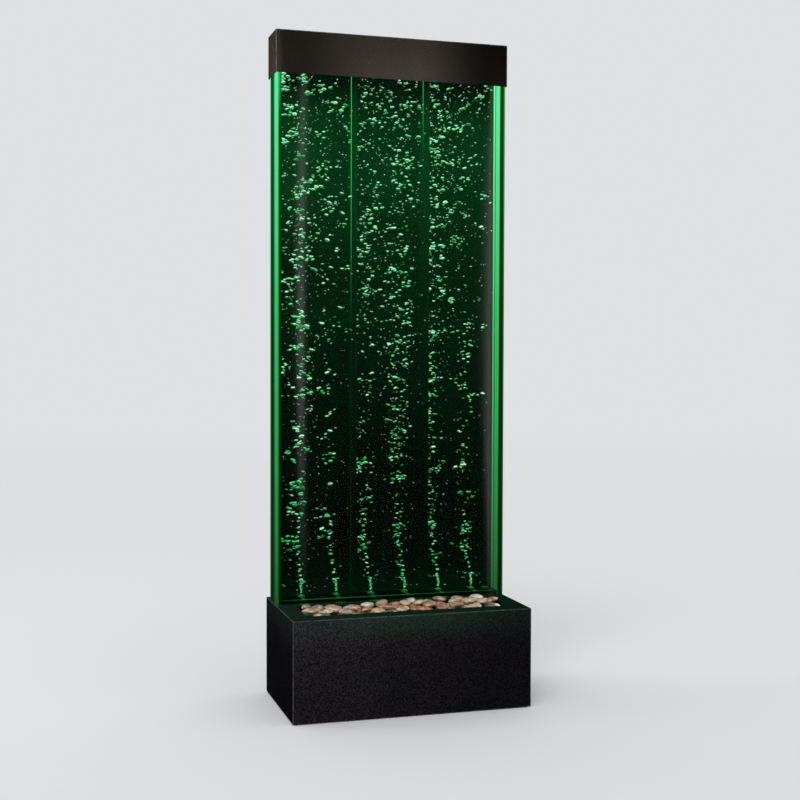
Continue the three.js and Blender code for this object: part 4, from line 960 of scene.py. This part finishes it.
# Hoses and leads: clear silicone air tubes and drain hose, a little milky, and black sheathed
# leads between the control box, lights, pump, switch and inlet.
hose_finish, place = new_finish("silicone_hose")
milk = grain(place, 120, 3.0)
close_finish(
    place,
    Base_Color=milk.rise(0.3, 0.7).blend((0.50, 0.56, 0.53), (0.68, 0.73, 0.70)),
    Roughness=0.30 + milk * 0.15,
    Normal=bumped(milk, 0.0003, 0.3),
    Alpha=0.75,
)
dress(hose_finish, "pump_tube", "manifold_tube", "drain_hose",
      *(f"air_tube_{i + 1}" for i in range(6)))
dress(rubber("lead_sheath", (0.009, 0.009, 0.010), (0.022, 0.022, 0.023), 0.5),
      "light_lead", "pump_lead", "inlet_lead", "switch_lead")


# Rear panel: a dished steel cover with drawn louvres, held by two thumb screws. The switch, the
# power inlet and the drain tap come through it.
panel_coat = powder_coat("panel_powder_coat", (0.010, 0.010, 0.011), (0.112, 0.110, 0.115), 0.35)
dress(panel_coat, "service_panel")
dress(zinc_finish, "thumb_screw_left", "thumb_screw_right", "drain_tap_handle")
dress(moulded("frame_moulding", (0.045, 0.045, 0.048), (0.085, 0.085, 0.09), 0.35),
      "switch_frame", "power_inlet")
dress(black_moulding, "power_rocker")


# Header: a lid folded from the same steel that drops over the tank's top, in a browner batch of
# the powder coat. Inside, a foam ring glued to its roof keeps it off the acrylic.
HEADER_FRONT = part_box("header")[0].y
HEADER_SIDE, HEADER_BACK, HEADER_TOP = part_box("header")[1]


def painted_header_light(place):
    """Painted light and shade: lightest low in the middle and by the left fold; shaded roof and
    back.
    """
    x, y, z = parts_of(place)
    along = x.rise(-0.28, -0.06, 0.38, 1) * x.rise(0.04, 0.28, 1, 0.16)
    along = along + x.rise(0.001 - HEADER_SIDE, -0.308, 0.58, 0)
    front = along * z.rise(1.72, HEADER_TOP - 0.001, 1.15, 0.88)
    roof = z.rise(HEADER_TOP - 0.001, HEADER_TOP - 0.0002, 1, 0.5)
    return front * roof * y.rise(0.10, 0.137, 1, 0.5)


header_coat = powder_coat(
    "header_powder_coat", (0.055, 0.045, 0.036), (0.220, 0.183, 0.147), 0.0,
    (HEADER_SIDE, (HEADER_BACK - HEADER_FRONT) / 2, TANK_MIDDLE, HEADER_TOP), 0.6, painted_header_light)
dress(header_coat, "header")

low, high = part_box("header_pad")
bpy.ops.object.select_all(action="DESELECT")
middle = ((low.x + high.x) / 2, (low.y + high.y) / 2, low.z)
bpy.ops.mesh.primitive_plane_add(size=1, location=middle)
foam = bpy.context.object
foam.name = "header_foam"
foam.scale = (high.x - low.x, high.y - low.y, 1)
bpy.ops.object.transform_apply(location=True, rotation=True, scale=True)
bpy.ops.object.mode_set(mode="EDIT")
bpy.ops.mesh.select_all(action="SELECT")
bpy.ops.mesh.inset(thickness=0.014)
bpy.ops.mesh.delete(type="FACE")
bpy.ops.mesh.select_all(action="SELECT")
bpy.ops.mesh.extrude_region_move(TRANSFORM_OT_translate={"value": (0, 0, high.z - low.z)})
bpy.ops.mesh.select_all(action="SELECT")
bpy.ops.mesh.normals_make_consistent(inside=False)
bpy.ops.object.mode_set(mode="OBJECT")
rounding = foam.modifiers.new("soft_edges", "BEVEL")
rounding.width = 0.0015
rounding.segments = 3
bpy.ops.object.modifier_apply(modifier=rounding.name)
bpy.ops.object.shade_smooth_by_angle(angle=math.radians(50))
foam_finish, place = new_finish("closed_cell_foam")
cells = place.node("ShaderNodeTexVoronoi", {}, {"Vector": place, "Scale": 700}, "Distance")
close_finish(
    place,
    Base_Color=cells.rise(0.1, 0.7).blend((0.035, 0.035, 0.036), (0.012, 0.012, 0.012)),
    Roughness=0.95 - cells * 0.1,
    Normal=bumped(cells, 0.0006, 0.6),
    Specular_IOR_Level=0.2,
)
foam.data.materials.append(foam_finish)
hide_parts("header_pad")
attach(foam, "header")
